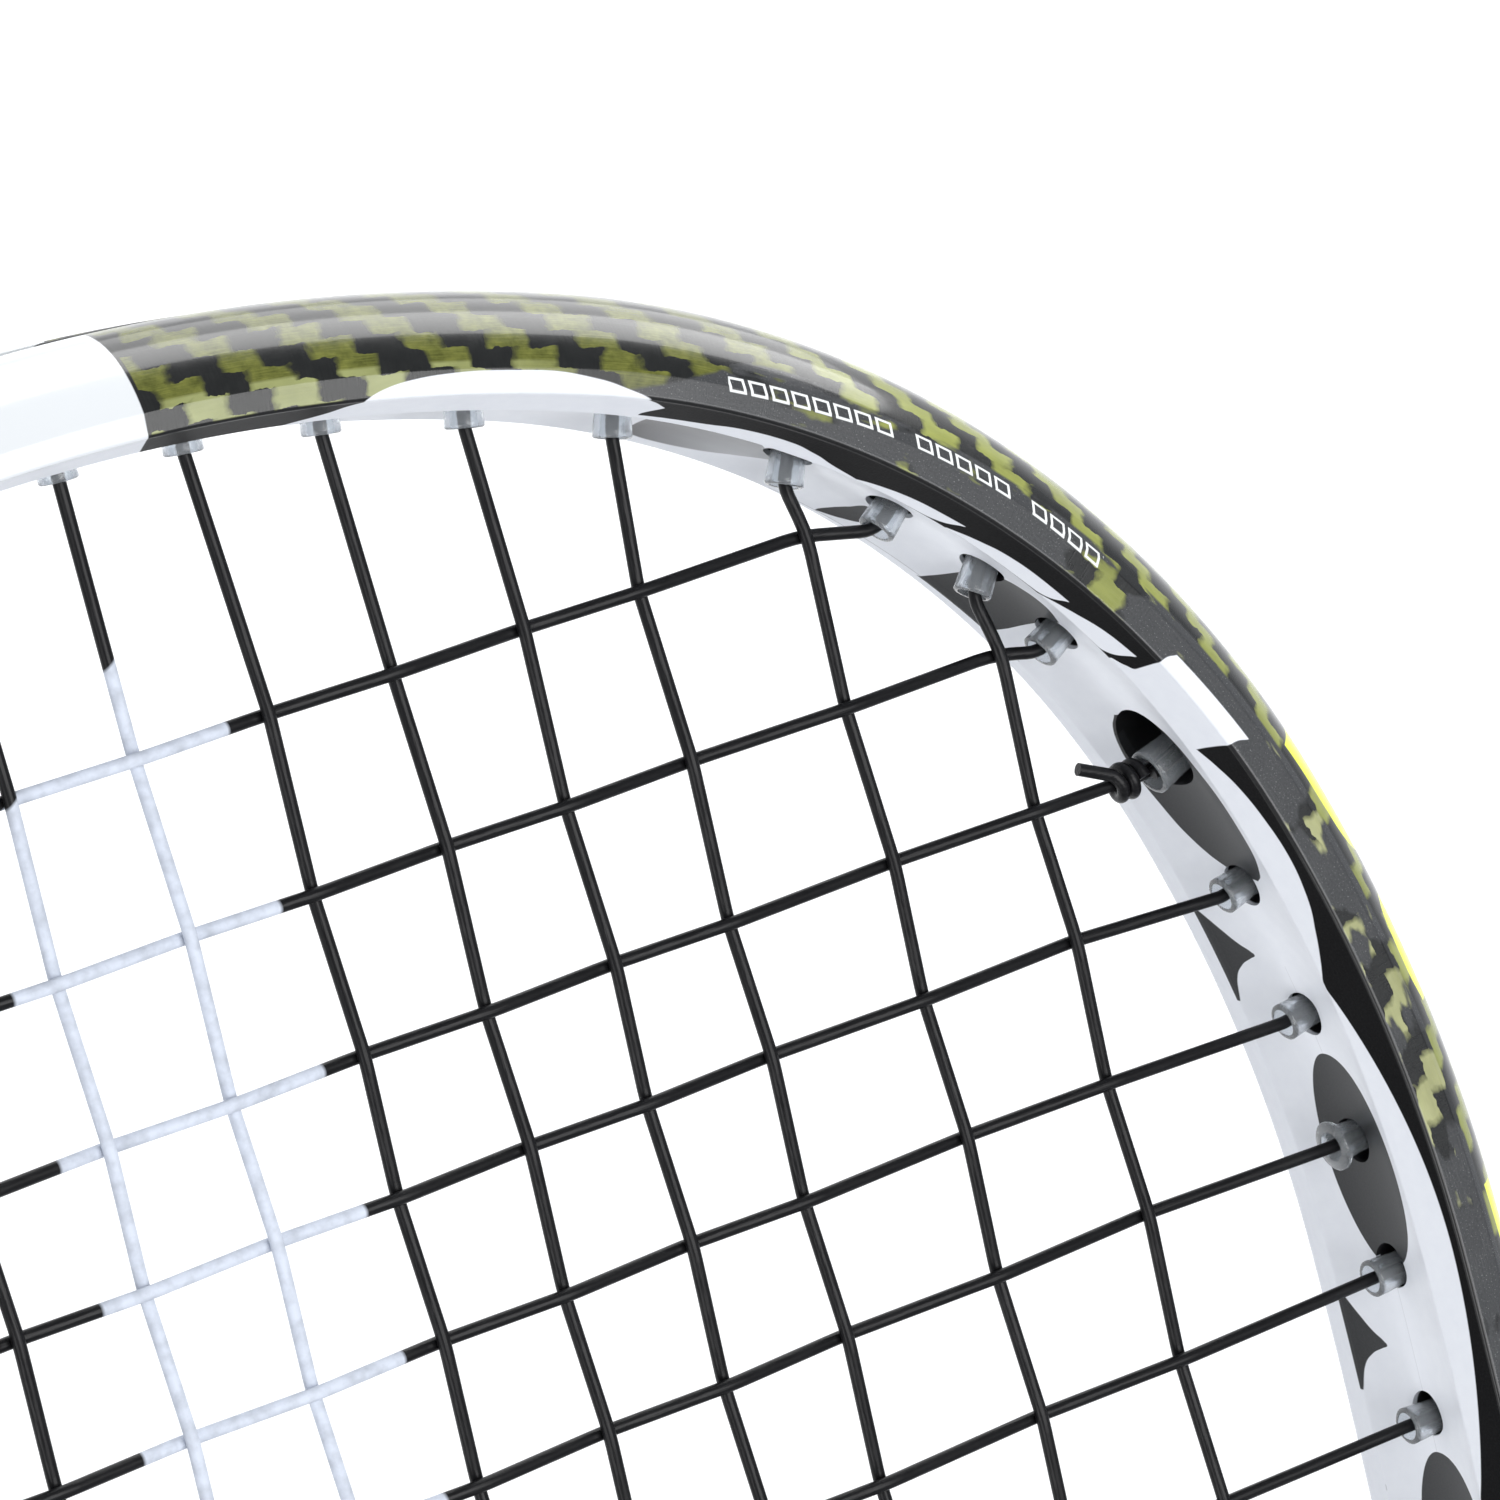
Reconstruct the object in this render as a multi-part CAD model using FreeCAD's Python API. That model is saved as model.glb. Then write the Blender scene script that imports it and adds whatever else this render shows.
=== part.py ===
"""Squash racket: closed-throat hollow carbon frame, grommet strips, woven strings, handle.

Millimetres. The origin is the centre of the butt cap's end face; +Y runs up the racket to the
tip, +X to the right and +Z to the front, square to the strings.
"""
import FreeCAD, Part
import os
from math import acos, copysign, cos, degrees, pi, radians, sin, tan
from FreeCAD import Vector

# ---- driving dimensions -------------------------------------------------------------------
TIP_Y = 675.0                 # inner wall at the tip; the outer wall is FRAME_W further on
HEAD_HALF_W = 97.2            # inner wall, half the widest width
FRAME_W = 9.8                 # frame section, measured in the string plane
BEAM_HALF = 11.0              # frame section, half its depth across the string plane
LEG_INNER_X = -0.3            # inner wall line of each leg where the two run side by side

# inner wall of the head from the tip: radius, and the angle of its normal where the arc ends
TIP_R, TIP_END = 141.4, 17.8
SHOULDER_R, SHOULDER_END = 74.3, 71.3
FLANK_R, FLANK_END = 500.0, 108.0
HEEL_R = 75.0                 # lower corner of the head, shared by bridge and leg
LEG_ANGLE = 118.0             # normal of the straight part of each leg
BRIDGE_END = 140.0            # normal where the heel arc turns into the bridge arc
LEG_BEND_R = 85.0             # reverse bend from the leg into the shaft

# frame section: n outward from the inner wall line, z to the front
CREASE = (0.8, 6.7)           # edge between the dished inner wall and the inner bevel
WALL_DISH_N = 2.1             # middle of the dished inner wall
BEVEL_TOP = (1.85, 10.9)      # inner bevel meets the front facet
FACET_END = (4.3, BEAM_HALF)  # front facet meets the outer bevel
OUTER_MID = (7.9, 8.2)
OUTER_EDGE = (FRAME_W, 4.0)
GROOVE = (8.3, 2.8)           # floor and half width of the groove for the grommet strips
HOLLOW = ((3.3, 1.0), (2.3, 6.6), (3.1, 9.6), (4.2, 9.75), (6.9, 7.0))

# strings
STRING_D = 1.05
MAINS_X = (5.35, 16.2, 27.35, 38.35, 49.2, 64.0, 78.1)   # from the middle outward
CROSS_TOP_Y = (653.7, 640.0, 627.3, 616.4, 604.9, 593.75)
CROSS_COUNT = 18
CROSS_GAP_FIRST, CROSS_GAP_LAST = 11.2, 15.5
# how far along the wall each hole stands from its string's own line, away from the tip
MAIN_SLIDES = (0.0, -0.7, -0.7, -0.1, 1.0, -0.7, -1.4)
CROSS_SLIDES = (2.1, 1.1, 0.2, 0.8, 0.7, 0.5)
WEAVE_R = 12.0                # bend of a string over another
LIFT = STRING_D / 2 + 0.01    # a string's centre above or below the string plane at a crossing

# grommets
BARREL_OD, BARREL_BORE = 2.8, 1.7
TIE_OD, TIE_BORE = 3.6, 2.6   # barrels that hold a tie-off as well
TIE_SHIFT = 0.54              # such a barrel's axis in front of the string plane
BARREL_END_N = -0.2           # the inner end of every barrel
BARREL_TILT = 0.25            # how far a barrel leans from the wall's normal to its string
HOLE_CLEAR = 0.1
FIT = 0.02                    # slack between pieces that sit on each other
WIDE_HOLE_D = 4.1             # the same hole where it opens through the inner wall
WIDE_HOLE_N = 4.5
STRIP = (8.7, 2.55)           # top of the strip's floor, half its width
STRIP_LIP = (9.4, 1.7)        # top of its lips, and where they start
LOOP_N = STRIP[0] + STRING_D / 2 + 0.02
LANE = 1.1                    # a string that passes others runs this far off the groove's middle
RUN_STEP, RUN_BEND = 4.0, 8.0 # spacing of the corners of a run in the groove, and their bend
OUTLET_BEND = 1.3
HOLE_SPAN = (-1.0, 12.0)      # a drilled hole runs between these offsets
WINDOW_D, WINDOW_SHIFT, WINDOW_DEPTH = 7.4, 1.0, 5.0   # inner wall's window at the main tie-offs
STRIP_TAIL = 11.0             # how far each side strip carries on along its leg

# tie-off knots: turns round the string in front of the barrel, and a cut tail
KNOT_R = STRING_D + 0.12
KNOT_TURNS, KNOT_SPOKES = 2, 8
KNOT_START, KNOT_PITCH = 0.8, STRING_D + 0.04
KNOT_ELBOW = (0.9, 0.5, 0.2)  # the tail's bend: off the string, along it and down
KNOT_END = (2.3, 3.4, 0.4)    # the tail's cut end

# bridge
BRIDGE_W, BRIDGE_HALF = 7.4, 8.6
BRIDGE_GROOVE = (6.3, 2.2)
BRIDGE_START = 124.0          # the yoke's tips taper out against the legs here

# shaft and handle
BRIDGE_FIRST = 130.0          # holes past this angle go through the bridge
SHAFT_BOTTOM = 215.0
WRAP_TOP, WRAP_WALL = 264.0, 0.8
HAIRPIN_HALF = 7.6            # half depth of the legs inside the handle
HAIRPIN_BOTTOM, HAIRPIN_TAPER = 9.0, 10.0
HAIRPIN_OUTER = ((0.8, 6.7), (2.25, 11.0), (6.7, 11.0), (FRAME_W, 6.0))
HAIRPIN_INNER = ((2.4, 5.4), (3.2, 9.4), (6.2, 9.4), (7.5, 5.4))
PLUG = (3.6, 5.8, 14.0)       # foam plug: width, depth, length
PLUG_X, PLUG_ROUND = 3.4, 0.8
PALLET = (28.0, 24.6, 4.6)    # width, depth and corner bevel
PALLET_SPAN = (6.0, 203.0)
PALLET_GAP = 0.1
GRIP_WALL = 1.7
GRIP_SPAN = (17.2, 202.0)
CAP = (34.0, 30.6, 6.4)       # butt cap's flare: width, depth, corner bevel
CAP_LENGTH, CAP_WALL, CAP_EDGE = 24.0, 1.2, 1.0
CAP_FLARE_TOP, CAP_WAIST, CAP_SKIRT = 6.0, 11.0, 17.0   # heights where the flare narrows
CAP_WAIST_IN = (2.0, 1.8, 1.0)                          # how much less the waist is than the flare
BADGE_R, BADGE_DEPTH, BADGE_CHAMFER = 9.5, 1.0, 0.25
TAPE_SPAN, TAPE_WALL = (195.0, 203.0), 0.25
COLLAR_SPAN, COLLAR_WALL = (191.0, 232.0), 1.1
COLLAR_NECK = (206.0, 217.0)  # where the collar narrows from the grip to the shaft
STAPLE_W, STAPLE_WIRE, STAPLE_LEG, STAPLE_BEND = 9.0, 0.7, 3.2, 1.2
STAPLE_DOWN = 3.0             # below the cap's rim
SHAFT_CORNER = 2.4
CORNER_GROWTH = 0.6           # a bevelled profile's corner grows by this share of its offset

Z_AXIS = Vector(0, 0, 1)
Y_AXIS = Vector(0, 1, 0)


# ---- the head's inner wall line -----------------------------------------------------------
def normal(phi):
    return Vector(sin(radians(phi)), cos(radians(phi)), 0)

# Small clearances and construction allowances
SNUG, CLOSE, SKIN = 0.1, 0.05, 0.02             # gaps between pieces that sit in one another
OVERRUN, PAST = 5, 1                            # how far a cutting block runs past its piece
GROOVE_FLARE = 0.2                              # widening of the outer groove at its mouth
END_BEND, BEND_SHARE = 3.0, 0.48                # string bend at a mouth; share of a span it may use
KISS = 0.03                                     # slack where two strings cross
BRIDGE_LEAD, BRIDGE_ROUND = 0.6, 1.6            # bridge: inner nose and corner set-back
BRIDGE_FALL = (2.6, 2.0)                        # bridge: drop of the corners, inner and outer
BARREL_ROOT = 0.3                               # barrel buried in its strip
SPLIT_BACK, SPLIT_GAP = 0.9, 0.3                # joint between tip and side strips, degrees
BRIDGE_STRIP_SLACK = 0.25                       # bridge strip narrower than its groove, each side
GRIP_SWELL = 8                                  # grip runs full width this far above the cap
TAPE_BITE = 0.4                                 # tape sunk into the end of the grip
LENGTHWISE = 0.9                                # cosine that marks an edge running along the shaft


class Arc:
    """An arc of the inner wall line; phi is its normal's angle from +Y towards +X."""

    def __init__(self, start, phi0, phi1, radius):
        self.phi0, self.phi1, self.radius = phi0, phi1, radius
        self.centre = start - normal(phi0) * radius

    def point(self, phi, n=0.0, z=0.0):
        return self.centre + normal(phi) * (self.radius + n) + Z_AXIS * z

    def end(self):
        return self.point(self.phi1)


def head_arcs():
    """Right half of the head from the tip, then the bridge arc back to the centre line."""
    tip = Arc(Vector(0, TIP_Y, 0), 0, TIP_END, TIP_R)
    shoulder = Arc(tip.end(), TIP_END, SHOULDER_END, SHOULDER_R)
    side_r = (HEAD_HALF_W - shoulder.end().x) / (1 - sin(radians(SHOULDER_END)))
    side = Arc(shoulder.end(), SHOULDER_END, 90, side_r)
    flank = Arc(side.end(), 90, FLANK_END, FLANK_R)
    heel = Arc(flank.end(), FLANK_END, BRIDGE_END, HEEL_R)
    bridge = Arc(heel.end(), BRIDGE_END, 180, heel.end().x / sin(radians(BRIDGE_END)))
    return [tip, shoulder, side, flank, heel, bridge]


ARCS = head_arcs()
BRIDGE_ARC = ARCS[-1]


def arc_at(phi):
    for arc in ARCS:
        if phi <= arc.phi1:
            return arc
    return BRIDGE_ARC


def wall_point(phi, n=0.0, z=0.0):
    """A point off the inner wall line; a negative phi is on the left half."""
    p = arc_at(abs(phi)).point(abs(phi), n, z)
    return p if phi >= 0 else Vector(-p.x, p.y, p.z)


def wall_normal(phi):
    v = normal(abs(phi))
    return v if phi >= 0 else Vector(-v.x, v.y, 0)


def length_to(phi):
    """Length of the wall line from the tip round to phi, negative on the left half."""
    total = 0.0
    for arc in ARCS:
        turned = min(abs(phi), arc.phi1) - arc.phi0
        if turned > 0:
            total += radians(turned) * arc.radius
    return copysign(total, phi)


HALF_LENGTH = length_to(180)


def phi_at(length):
    """The inverse of length_to; a length past the middle of the bridge is on the other half."""
    if abs(length) > HALF_LENGTH:
        length -= copysign(2 * HALF_LENGTH, length)
    left = abs(length)
    for arc in ARCS:
        span = radians(arc.phi1 - arc.phi0) * arc.radius
        if left <= span:
            return copysign(arc.phi0 + degrees(left / arc.radius), length)
        left -= span
    return copysign(180, length)


def slid(phi, distance):
    return phi_at(length_to(phi) + distance)


def on_leg(phi):
    """True where a hole goes through a leg that has already left the heel arc."""
    return LEG_ANGLE < abs(phi) < BRIDGE_FIRST


def leg_tangent():
    return Vector(cos(radians(LEG_ANGLE)), -sin(radians(LEG_ANGLE)), 0)


def outer_point(phi, n, z=0.0):
    """As wall_point, but it stays with the leg where the leg leaves the heel arc."""
    if not on_leg(phi):
        return wall_point(phi, n, z)
    past = length_to(abs(phi)) - length_to(LEG_ANGLE)
    p = arc_at(LEG_ANGLE).point(LEG_ANGLE, n, z) + leg_tangent() * past
    return p if phi >= 0 else Vector(-p.x, p.y, p.z)


def phi_where(axis, value, n, low, high):
    """The normal's angle, between low and high, where the line at offset n has x or y = value."""
    for _ in range(60):
        mid = (low + high) / 2
        here = wall_point(mid, n)
        below = here.x < value if axis == "x" and high <= 90 else \
            here.x > value if axis == "x" else here.y > value
        low, high = (mid, high) if below else (low, mid)
    return (low + high) / 2


# ---- solids along the line ----------------------------------------------------------------
def placed_face(wires, origin, along_n):
    """Moves wires drawn as (n, 0, z) so that n runs along along_n from origin."""
    turn = FreeCAD.Rotation(Vector(1, 0, 0), along_n)
    moved = []
    for wire in wires:
        copy = wire.copy()
        copy.Placement = FreeCAD.Placement(origin, turn)
        moved.append(copy)
    face = Part.Face(moved[0])
    return face.cut(Part.Face(moved[1])).Faces[0] if len(moved) > 1 else face


def polygon(points):
    return Part.makePolygon([Vector(n, 0, z) for n, z in points + points[:1]])


def mirrored_outline(points):
    """Closes a list of (n, z > 0) points with its mirror image below z = 0."""
    return polygon(list(points) + [(n, -z) for n, z in reversed(points)])


def frame_section():
    """Outer wire of the frame, with the dished inner wall, and the wire of its hollow."""
    up = [CREASE, BEVEL_TOP, FACET_END]
    v = [Vector(n, 0, z) for n, z in up]
    low = [Vector(p.x, 0, -p.z) for p in v]
    groove = [(FRAME_W, GROOVE[1] + GROOVE_FLARE), GROOVE]
    edge = Vector(OUTER_EDGE[0], 0, OUTER_EDGE[1])
    edge_low = Vector(edge.x, 0, -edge.z)
    mid = Vector(OUTER_MID[0], 0, OUTER_MID[1])
    back = [edge] + [Vector(n, 0, z) for n, z in groove]
    back += [Vector(n, 0, -z) for n, z in reversed(groove)] + [edge_low]
    edges = [Part.Arc(low[0], Vector(WALL_DISH_N, 0, 0), v[0]).toShape(),
             Part.LineSegment(v[0], v[1]).toShape(), Part.LineSegment(v[1], v[2]).toShape(),
             Part.Arc(v[2], mid, edge).toShape()]
    edges += [Part.LineSegment(a, b).toShape() for a, b in zip(back, back[1:])]
    edges += [Part.Arc(edge_low, Vector(mid.x, 0, -mid.z), low[2]).toShape(),
              Part.LineSegment(low[2], low[1]).toShape(),
              Part.LineSegment(low[1], low[0]).toShape()]
    return Part.Wire(edges), mirrored_outline(HOLLOW)


def strip_section(floor, top, half, lip_top, lip_from):
    """A shallow channel: a floor with a lip along each side."""
    return polygon([(floor, half), (lip_top, half), (lip_top, lip_from), (top, lip_from),
                    (top, -lip_from), (lip_top, -lip_from), (lip_top, -half), (floor, -half)])


def swept(wires, arc, phi0, phi1):
    """The section turned about the arc's centre from phi0 to phi1."""
    face = placed_face(wires, arc.point(phi0), normal(phi0))
    return face.revolve(arc.centre, -Z_AXIS, phi1 - phi0)


def swept_line(wires, phi0, phi1):
    """The section carried along every arc between two angles, as one list of solids."""
    parts = []
    for arc in ARCS:
        a, b = max(phi0, arc.phi0), min(phi1, arc.phi1)
        if b - a > 1e-6:
            parts.append(swept(wires, arc, a, b))
    return parts


def joined(parts):
    whole = parts[0].multiFuse(parts[1:]) if len(parts) > 1 else parts[0]
    return whole.removeSplitter()


def mirror_x(shape):
    return shape.mirror(Vector(0, 0, 0), Vector(1, 0, 0))


def leg_line():
    """End of the heel arc, start of the reverse bend and start of the shaft, right leg."""
    heel = ARCS[4]
    start = heel.point(LEG_ANGLE)
    bend_dx = LEG_BEND_R * (1 - sin(radians(LEG_ANGLE)))
    run_dx = start.x - bend_dx - LEG_INNER_X
    slope = radians(LEG_ANGLE - 90)
    bend_start = start + Vector(-run_dx, -run_dx / tan(slope), 0)
    shaft_start = bend_start + Vector(-bend_dx, -LEG_BEND_R * sin(slope), 0)
    return start, bend_start, shaft_start


def leg_solids(wires):
    """Right leg: straight run, reverse bend and shaft run."""
    start, bend_start, shaft_start = leg_line()
    run = placed_face(wires, start, normal(LEG_ANGLE)).extrude(bend_start - start)
    hub = bend_start + normal(LEG_ANGLE) * LEG_BEND_R
    bend = placed_face(wires, bend_start, normal(LEG_ANGLE)).revolve(
        hub, Z_AXIS, LEG_ANGLE - 90)
    shaft = placed_face(wires, shaft_start, normal(90)).extrude(
        Vector(0, SHAFT_BOTTOM - shaft_start.y, 0))
    return [run, bend, shaft]


def hairpin_leg():
    """Right leg inside the handle, flattened to fit between the pallets."""
    def wires(scale):
        return [mirrored_outline([(n, z * scale) for n, z in points])
                for points in (HAIRPIN_OUTER, HAIRPIN_INNER)]

    flat = HAIRPIN_HALF / BEAM_HALF
    top = Vector(LEG_INNER_X, SHAFT_BOTTOM, 0)
    neck = Vector(LEG_INNER_X, SHAFT_BOTTOM - HAIRPIN_TAPER, 0)
    shells = []
    for i in (0, 1):
        ends = []
        for scale, at in ((1.0, top), (flat, neck)):
            wire = wires(scale)[i].copy()
            wire.Placement = FreeCAD.Placement(at, FreeCAD.Rotation())
            ends.append(wire)
        shells.append(Part.makeLoft(ends, True, True))
    taper = shells[0].cut(shells[1])
    run = placed_face(wires(flat), neck, Vector(1, 0, 0)).extrude(
        Vector(0, HAIRPIN_BOTTOM - neck.y, 0))
    return [taper, run]


# ---- string holes -------------------------------------------------------------------------
class Hole:
    """One string's way through the frame: barrel mouth inside, outlet in the outer groove.

    tie is +1 or -1 where a tie-off shares the barrel in front of or behind the string.
    """

    def __init__(self, phi_mouth, string_dir, tie=0):
        self.tie = tie
        self.phi = phi_mouth
        self.in_bridge = abs(phi_mouth) > BRIDGE_FIRST
        self.mouth = wall_point(phi_mouth, BARREL_END_N)
        tilt = 1.0 if self.in_bridge else BARREL_TILT
        lean = wall_normal(phi_mouth) * (1 - tilt) + string_dir * tilt
        self.dir = lean / lean.Length
        face = copysign(LEG_ANGLE, phi_mouth) if on_leg(phi_mouth) else phi_mouth
        self.rise = self.dir.dot(wall_normal(face))
        self.mouth_n = (self.mouth - wall_point(face)).dot(wall_normal(face))
        self.outlet_n = LOOP_N - (GROOVE[0] - BRIDGE_GROOVE[0] if self.in_bridge else 0)
        self.outlet = self.at(self.outlet_n)

    def at(self, n):
        """The point of the hole's axis at offset n."""
        return self.mouth + self.dir * ((n - self.mouth_n) / self.rise)

    def rod(self, diameter, n_from, n_to):
        """A round rod on the hole's axis between two offsets."""
        start = self.at(n_from) + Z_AXIS * (TIE_SHIFT * self.tie)
        return Part.makeCylinder(diameter / 2, (n_to - n_from) / self.rise, start, self.dir)

    def barrel_d(self):
        return TIE_OD if self.tie else BARREL_OD

    def bore_d(self):
        return TIE_BORE if self.tie else BARREL_BORE


def cross_rows():
    rows = list(CROSS_TOP_Y)
    extra = CROSS_COUNT - len(rows)
    for k in range(1, extra + 1):
        eased = 1 - (1 - k / extra) ** 2
        rows.append(rows[-1] - CROSS_GAP_FIRST - (CROSS_GAP_LAST - CROSS_GAP_FIRST) * eased)
    return rows


ROWS = cross_rows()
COLUMNS = [-x for x in reversed(MAINS_X)] + list(MAINS_X)
WIDEST_PHI = 90.0


def main_hole(x, top, tie=0):
    side = 1 if x > 0 else -1
    low, high = (0.0, WIDEST_PHI) if top else (WIDEST_PHI, 180.0)
    phi = phi_where("x", abs(x), BARREL_END_N, low, high)
    if top:
        phi = slid(phi, MAIN_SLIDES[MAINS_X.index(abs(x))])
    return Hole(phi * side, Vector(0, 1 if top else -1, 0), tie)


def cross_hole(row, side, tie=0):
    phi = phi_where("y", ROWS[row], BARREL_END_N, 0.0, 180.0)
    if row < len(CROSS_SLIDES):
        phi = slid(phi, CROSS_SLIDES[row])
    return Hole(phi * side, Vector(side, 0, 0), tie)


TIE_ROW = 2                                  # main string ties off beside cross row 3
START_COLUMN, END_COLUMN = 1, 1              # cross string ties off beside these mains
TOPS = [main_hole(x, True, -1 if i == START_COLUMN else 0) for i, x in enumerate(COLUMNS)]
FOOTS = [main_hole(x, False, -1 if i == END_COLUMN else 0) for i, x in enumerate(COLUMNS)]
LEFTS = [cross_hole(j, -1, 1 if j == TIE_ROW else 0) for j in range(CROSS_COUNT)]
RIGHTS = [cross_hole(j, 1, 1 if j == TIE_ROW else 0) for j in range(CROSS_COUNT)]
HOLES = TOPS + FOOTS + LEFTS + RIGHTS


# ---- strings ------------------------------------------------------------------------------
def rounded(points):
    """A wire through (point, bend radius) corners: straight runs joined by tangent arcs."""
    edges = []
    at = points[0][0]
    for (a, _), (corner, radius), (b, _) in zip(points, points[1:], points[2:]):
        u, v = (corner - a).normalize(), (b - corner).normalize()
        turn = acos(max(-1.0, min(1.0, u.dot(v))))
        if turn < 1e-4:
            continue
        room = BEND_SHARE * min((corner - a).Length, (b - corner).Length)
        back = min(radius * tan(turn / 2), room)
        start, end = corner - u * back, corner + v * back
        bulge = corner + (v - u).normalize() * (back / tan(turn / 2)) * (1 / cos(turn / 2) - 1)
        edges.append(Part.LineSegment(at, start).toShape())
        edges.append(Part.Arc(start, bulge, end).toShape())
        at = end
    edges.append(Part.LineSegment(at, points[-1][0]).toShape())
    return Part.Wire(edges)


def tube_along(wire, diameter):
    start = wire.Edges[0]
    axis = start.tangentAt(start.FirstParameter)
    ring = Part.Wire([Part.makeCircle(diameter / 2, start.valueAt(start.FirstParameter), axis)])
    tube = wire.makePipeShell([ring], True, False)
    drift = tube.Volume / (pi * diameter ** 2 / 4 * wire.Length) - 1
    print("string length %.0f mm, volume off by %.3f" % (wire.Length, drift))
    return tube


def over(i, j):
    """+1 where main i passes over cross j; both are counted from the right and from the tip."""
    return 1 if (i + j) % 2 else -1


def main_corners(index, downward=True):
    """Corners of one main between its barrel mouths, woven over and under the crosses."""
    x = COLUMNS[index]
    rank = len(COLUMNS) - index
    top, foot = TOPS[index].mouth, FOOTS[index].mouth
    corners = [(top, END_BEND)]
    for j, y in enumerate(ROWS, 1):
        if foot.y + 2 < y < top.y - 2:
            corners.append((Vector(x, y, over(rank, j) * (LIFT + KISS)), WEAVE_R))
    corners.append((foot, END_BEND))
    return corners if downward else corners[::-1]


def cross_corners(index, rightward=True):
    y = ROWS[index]
    left, right = LEFTS[index].mouth, RIGHTS[index].mouth
    corners = [(left, END_BEND)]
    for i, x in enumerate(COLUMNS):
        rank = len(COLUMNS) - i
        if left.x + 2 < x < right.x - 2:
            corners.append((Vector(x, y, -over(rank, index + 1) * (LIFT + KISS)), WEAVE_R))
    corners.append((right, END_BEND))
    return corners if rightward else corners[::-1]


def groove_run(a, b, lane=0.0):
    """Corners from one hole's outlet to another's along the outer groove, in a lane."""
    start = length_to(a.phi)
    span = length_to(b.phi) - start
    if abs(span) > HALF_LENGTH:
        span -= copysign(2 * HALF_LENGTH, span)
    steps = max(2, round(abs(span) / RUN_STEP))
    out_n = min(a.outlet_n, b.outlet_n)
    corners = [(a.outlet, OUTLET_BEND)]
    for k in range(1, steps):
        corners.append((outer_point(phi_at(start + span * k / steps), out_n, lane), RUN_BEND))
    return corners + [(b.outlet, OUTLET_BEND)]


def tie_in(hole):
    """A tie-off's last stretch, in through a barrel beside the string that already uses it."""
    side = Z_AXIS * (2 * TIE_SHIFT * hole.tie)
    return [(hole.mouth + side, OUTLET_BEND), (hole.outlet + side, OUTLET_BEND)]


def main_route():
    """From the left tie-off, down and up through all the mains, to the right tie-off."""
    last = len(COLUMNS) - 1
    left_tie, right_tie = LEFTS[TIE_ROW], RIGHTS[TIE_ROW]
    route = tie_in(left_tie) + groove_run(left_tie, TOPS[0], LANE)[1:]
    for i in range(last + 1):
        route += main_corners(i, downward=(i % 2 == 0))
        if i < last:
            ends = FOOTS if i % 2 == 0 else TOPS
            route += groove_run(ends[i], ends[i + 1])
    return route + groove_run(TOPS[last], right_tie, LANE)[:-1] + tie_in(right_tie)[::-1]


def cross_route():
    """From the tie-off left of the tip, back and forth through the crosses, ending on the left."""
    last = len(ROWS) - 1
    start, end = TOPS[START_COLUMN], FOOTS[END_COLUMN]
    route = tie_in(start) + groove_run(start, LEFTS[0], -LANE)[1:]
    for j in range(last + 1):
        rightward = j % 2 == 0
        route += cross_corners(j, rightward)
        if j < last:
            ends = RIGHTS if rightward else LEFTS
            route += groove_run(ends[j], ends[j + 1], -LANE)
    return route + groove_run(LEFTS[last], end, -LANE)[:-1] + tie_in(end)[::-1]


def knot(hole, string_dir):
    """Turns round the string in front of the barrel's mouth, and the cut tail."""
    side = Z_AXIS.cross(string_dir)
    corners = []
    for k in range(KNOT_TURNS * KNOT_SPOKES + 1):
        turned = 2 * pi * k / KNOT_SPOKES
        spoke = (Z_AXIS * cos(turned) + side * sin(turned)) * (KNOT_R * hole.tie)
        at = hole.mouth - string_dir * (KNOT_START + KNOT_PITCH * k / KNOT_SPOKES)
        corners.append((at + spoke, KNOT_R))
    last = corners[-1][0]
    for off, along, down in (KNOT_ELBOW, KNOT_END):
        step = side * off - Z_AXIS * down
        corners.append((last + step * hole.tie - string_dir * along, STRING_D))
    return tube_along(rounded(corners), STRING_D)


# ---- the pieces ---------------------------------------------------------------------------
def both_sides(parts):
    return parts + [mirror_x(p) for p in parts]


def head_frame():
    """One hollow moulding: hoop, legs and the hairpin inside the handle, with its holes."""
    wires = frame_section()
    tip = ARCS[0]
    half = swept_line(wires, TIP_END, LEG_ANGLE) + leg_solids(wires) + hairpin_leg()
    hoop = [placed_face(wires, tip.point(-TIP_END), normal(-TIP_END)).revolve(
        tip.centre, -Z_AXIS, 2 * TIP_END)]
    body = joined(hoop + both_sides(half))
    through = [h for h in HOLES if not h.in_bridge]
    cutters = [h.rod(h.barrel_d() + 2 * HOLE_CLEAR, *HOLE_SPAN) for h in through]
    cutters += [h.rod(WIDE_HOLE_D, HOLE_SPAN[0], WIDE_HOLE_N) for h in through if not h.tie]
    cutters += [tie_window(h) for h in (LEFTS[TIE_ROW], RIGHTS[TIE_ROW])]
    return body.cut(Part.makeCompound(cutters))


def tie_window(hole):
    """A round window through the inner wall only, which lets the tie-off string in."""
    phi = slid(hole.phi, -copysign(WINDOW_SHIFT, hole.phi))
    return Part.makeCylinder(WINDOW_D / 2, WINDOW_DEPTH, wall_point(phi, HOLE_SPAN[0]),
                             wall_normal(phi))


def throat_bridge(legs):
    """The yoke that closes the head, trimmed where it meets the legs."""
    half, floor, groove = BRIDGE_HALF, BRIDGE_GROOVE[0], BRIDGE_GROOVE[1]
    outer = mirrored_outline([(BRIDGE_LEAD, half - BRIDGE_FALL[0]), (BRIDGE_ROUND, half),
                              (BRIDGE_W - BRIDGE_ROUND, half), (BRIDGE_W, half - BRIDGE_FALL[1]),
                              (BRIDGE_W, groove), (floor, groove)])
    parts = swept_line((outer,), BRIDGE_START, 180)
    cutters = legs + [h.rod(h.barrel_d() + 2 * HOLE_CLEAR, *HOLE_SPAN) for h in FOOTS]
    return largest(joined(both_sides(parts)).cut(Part.makeCompound(cutters)))


def largest(shape):
    return max(shape.Solids, key=lambda s: s.Volume)


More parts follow.
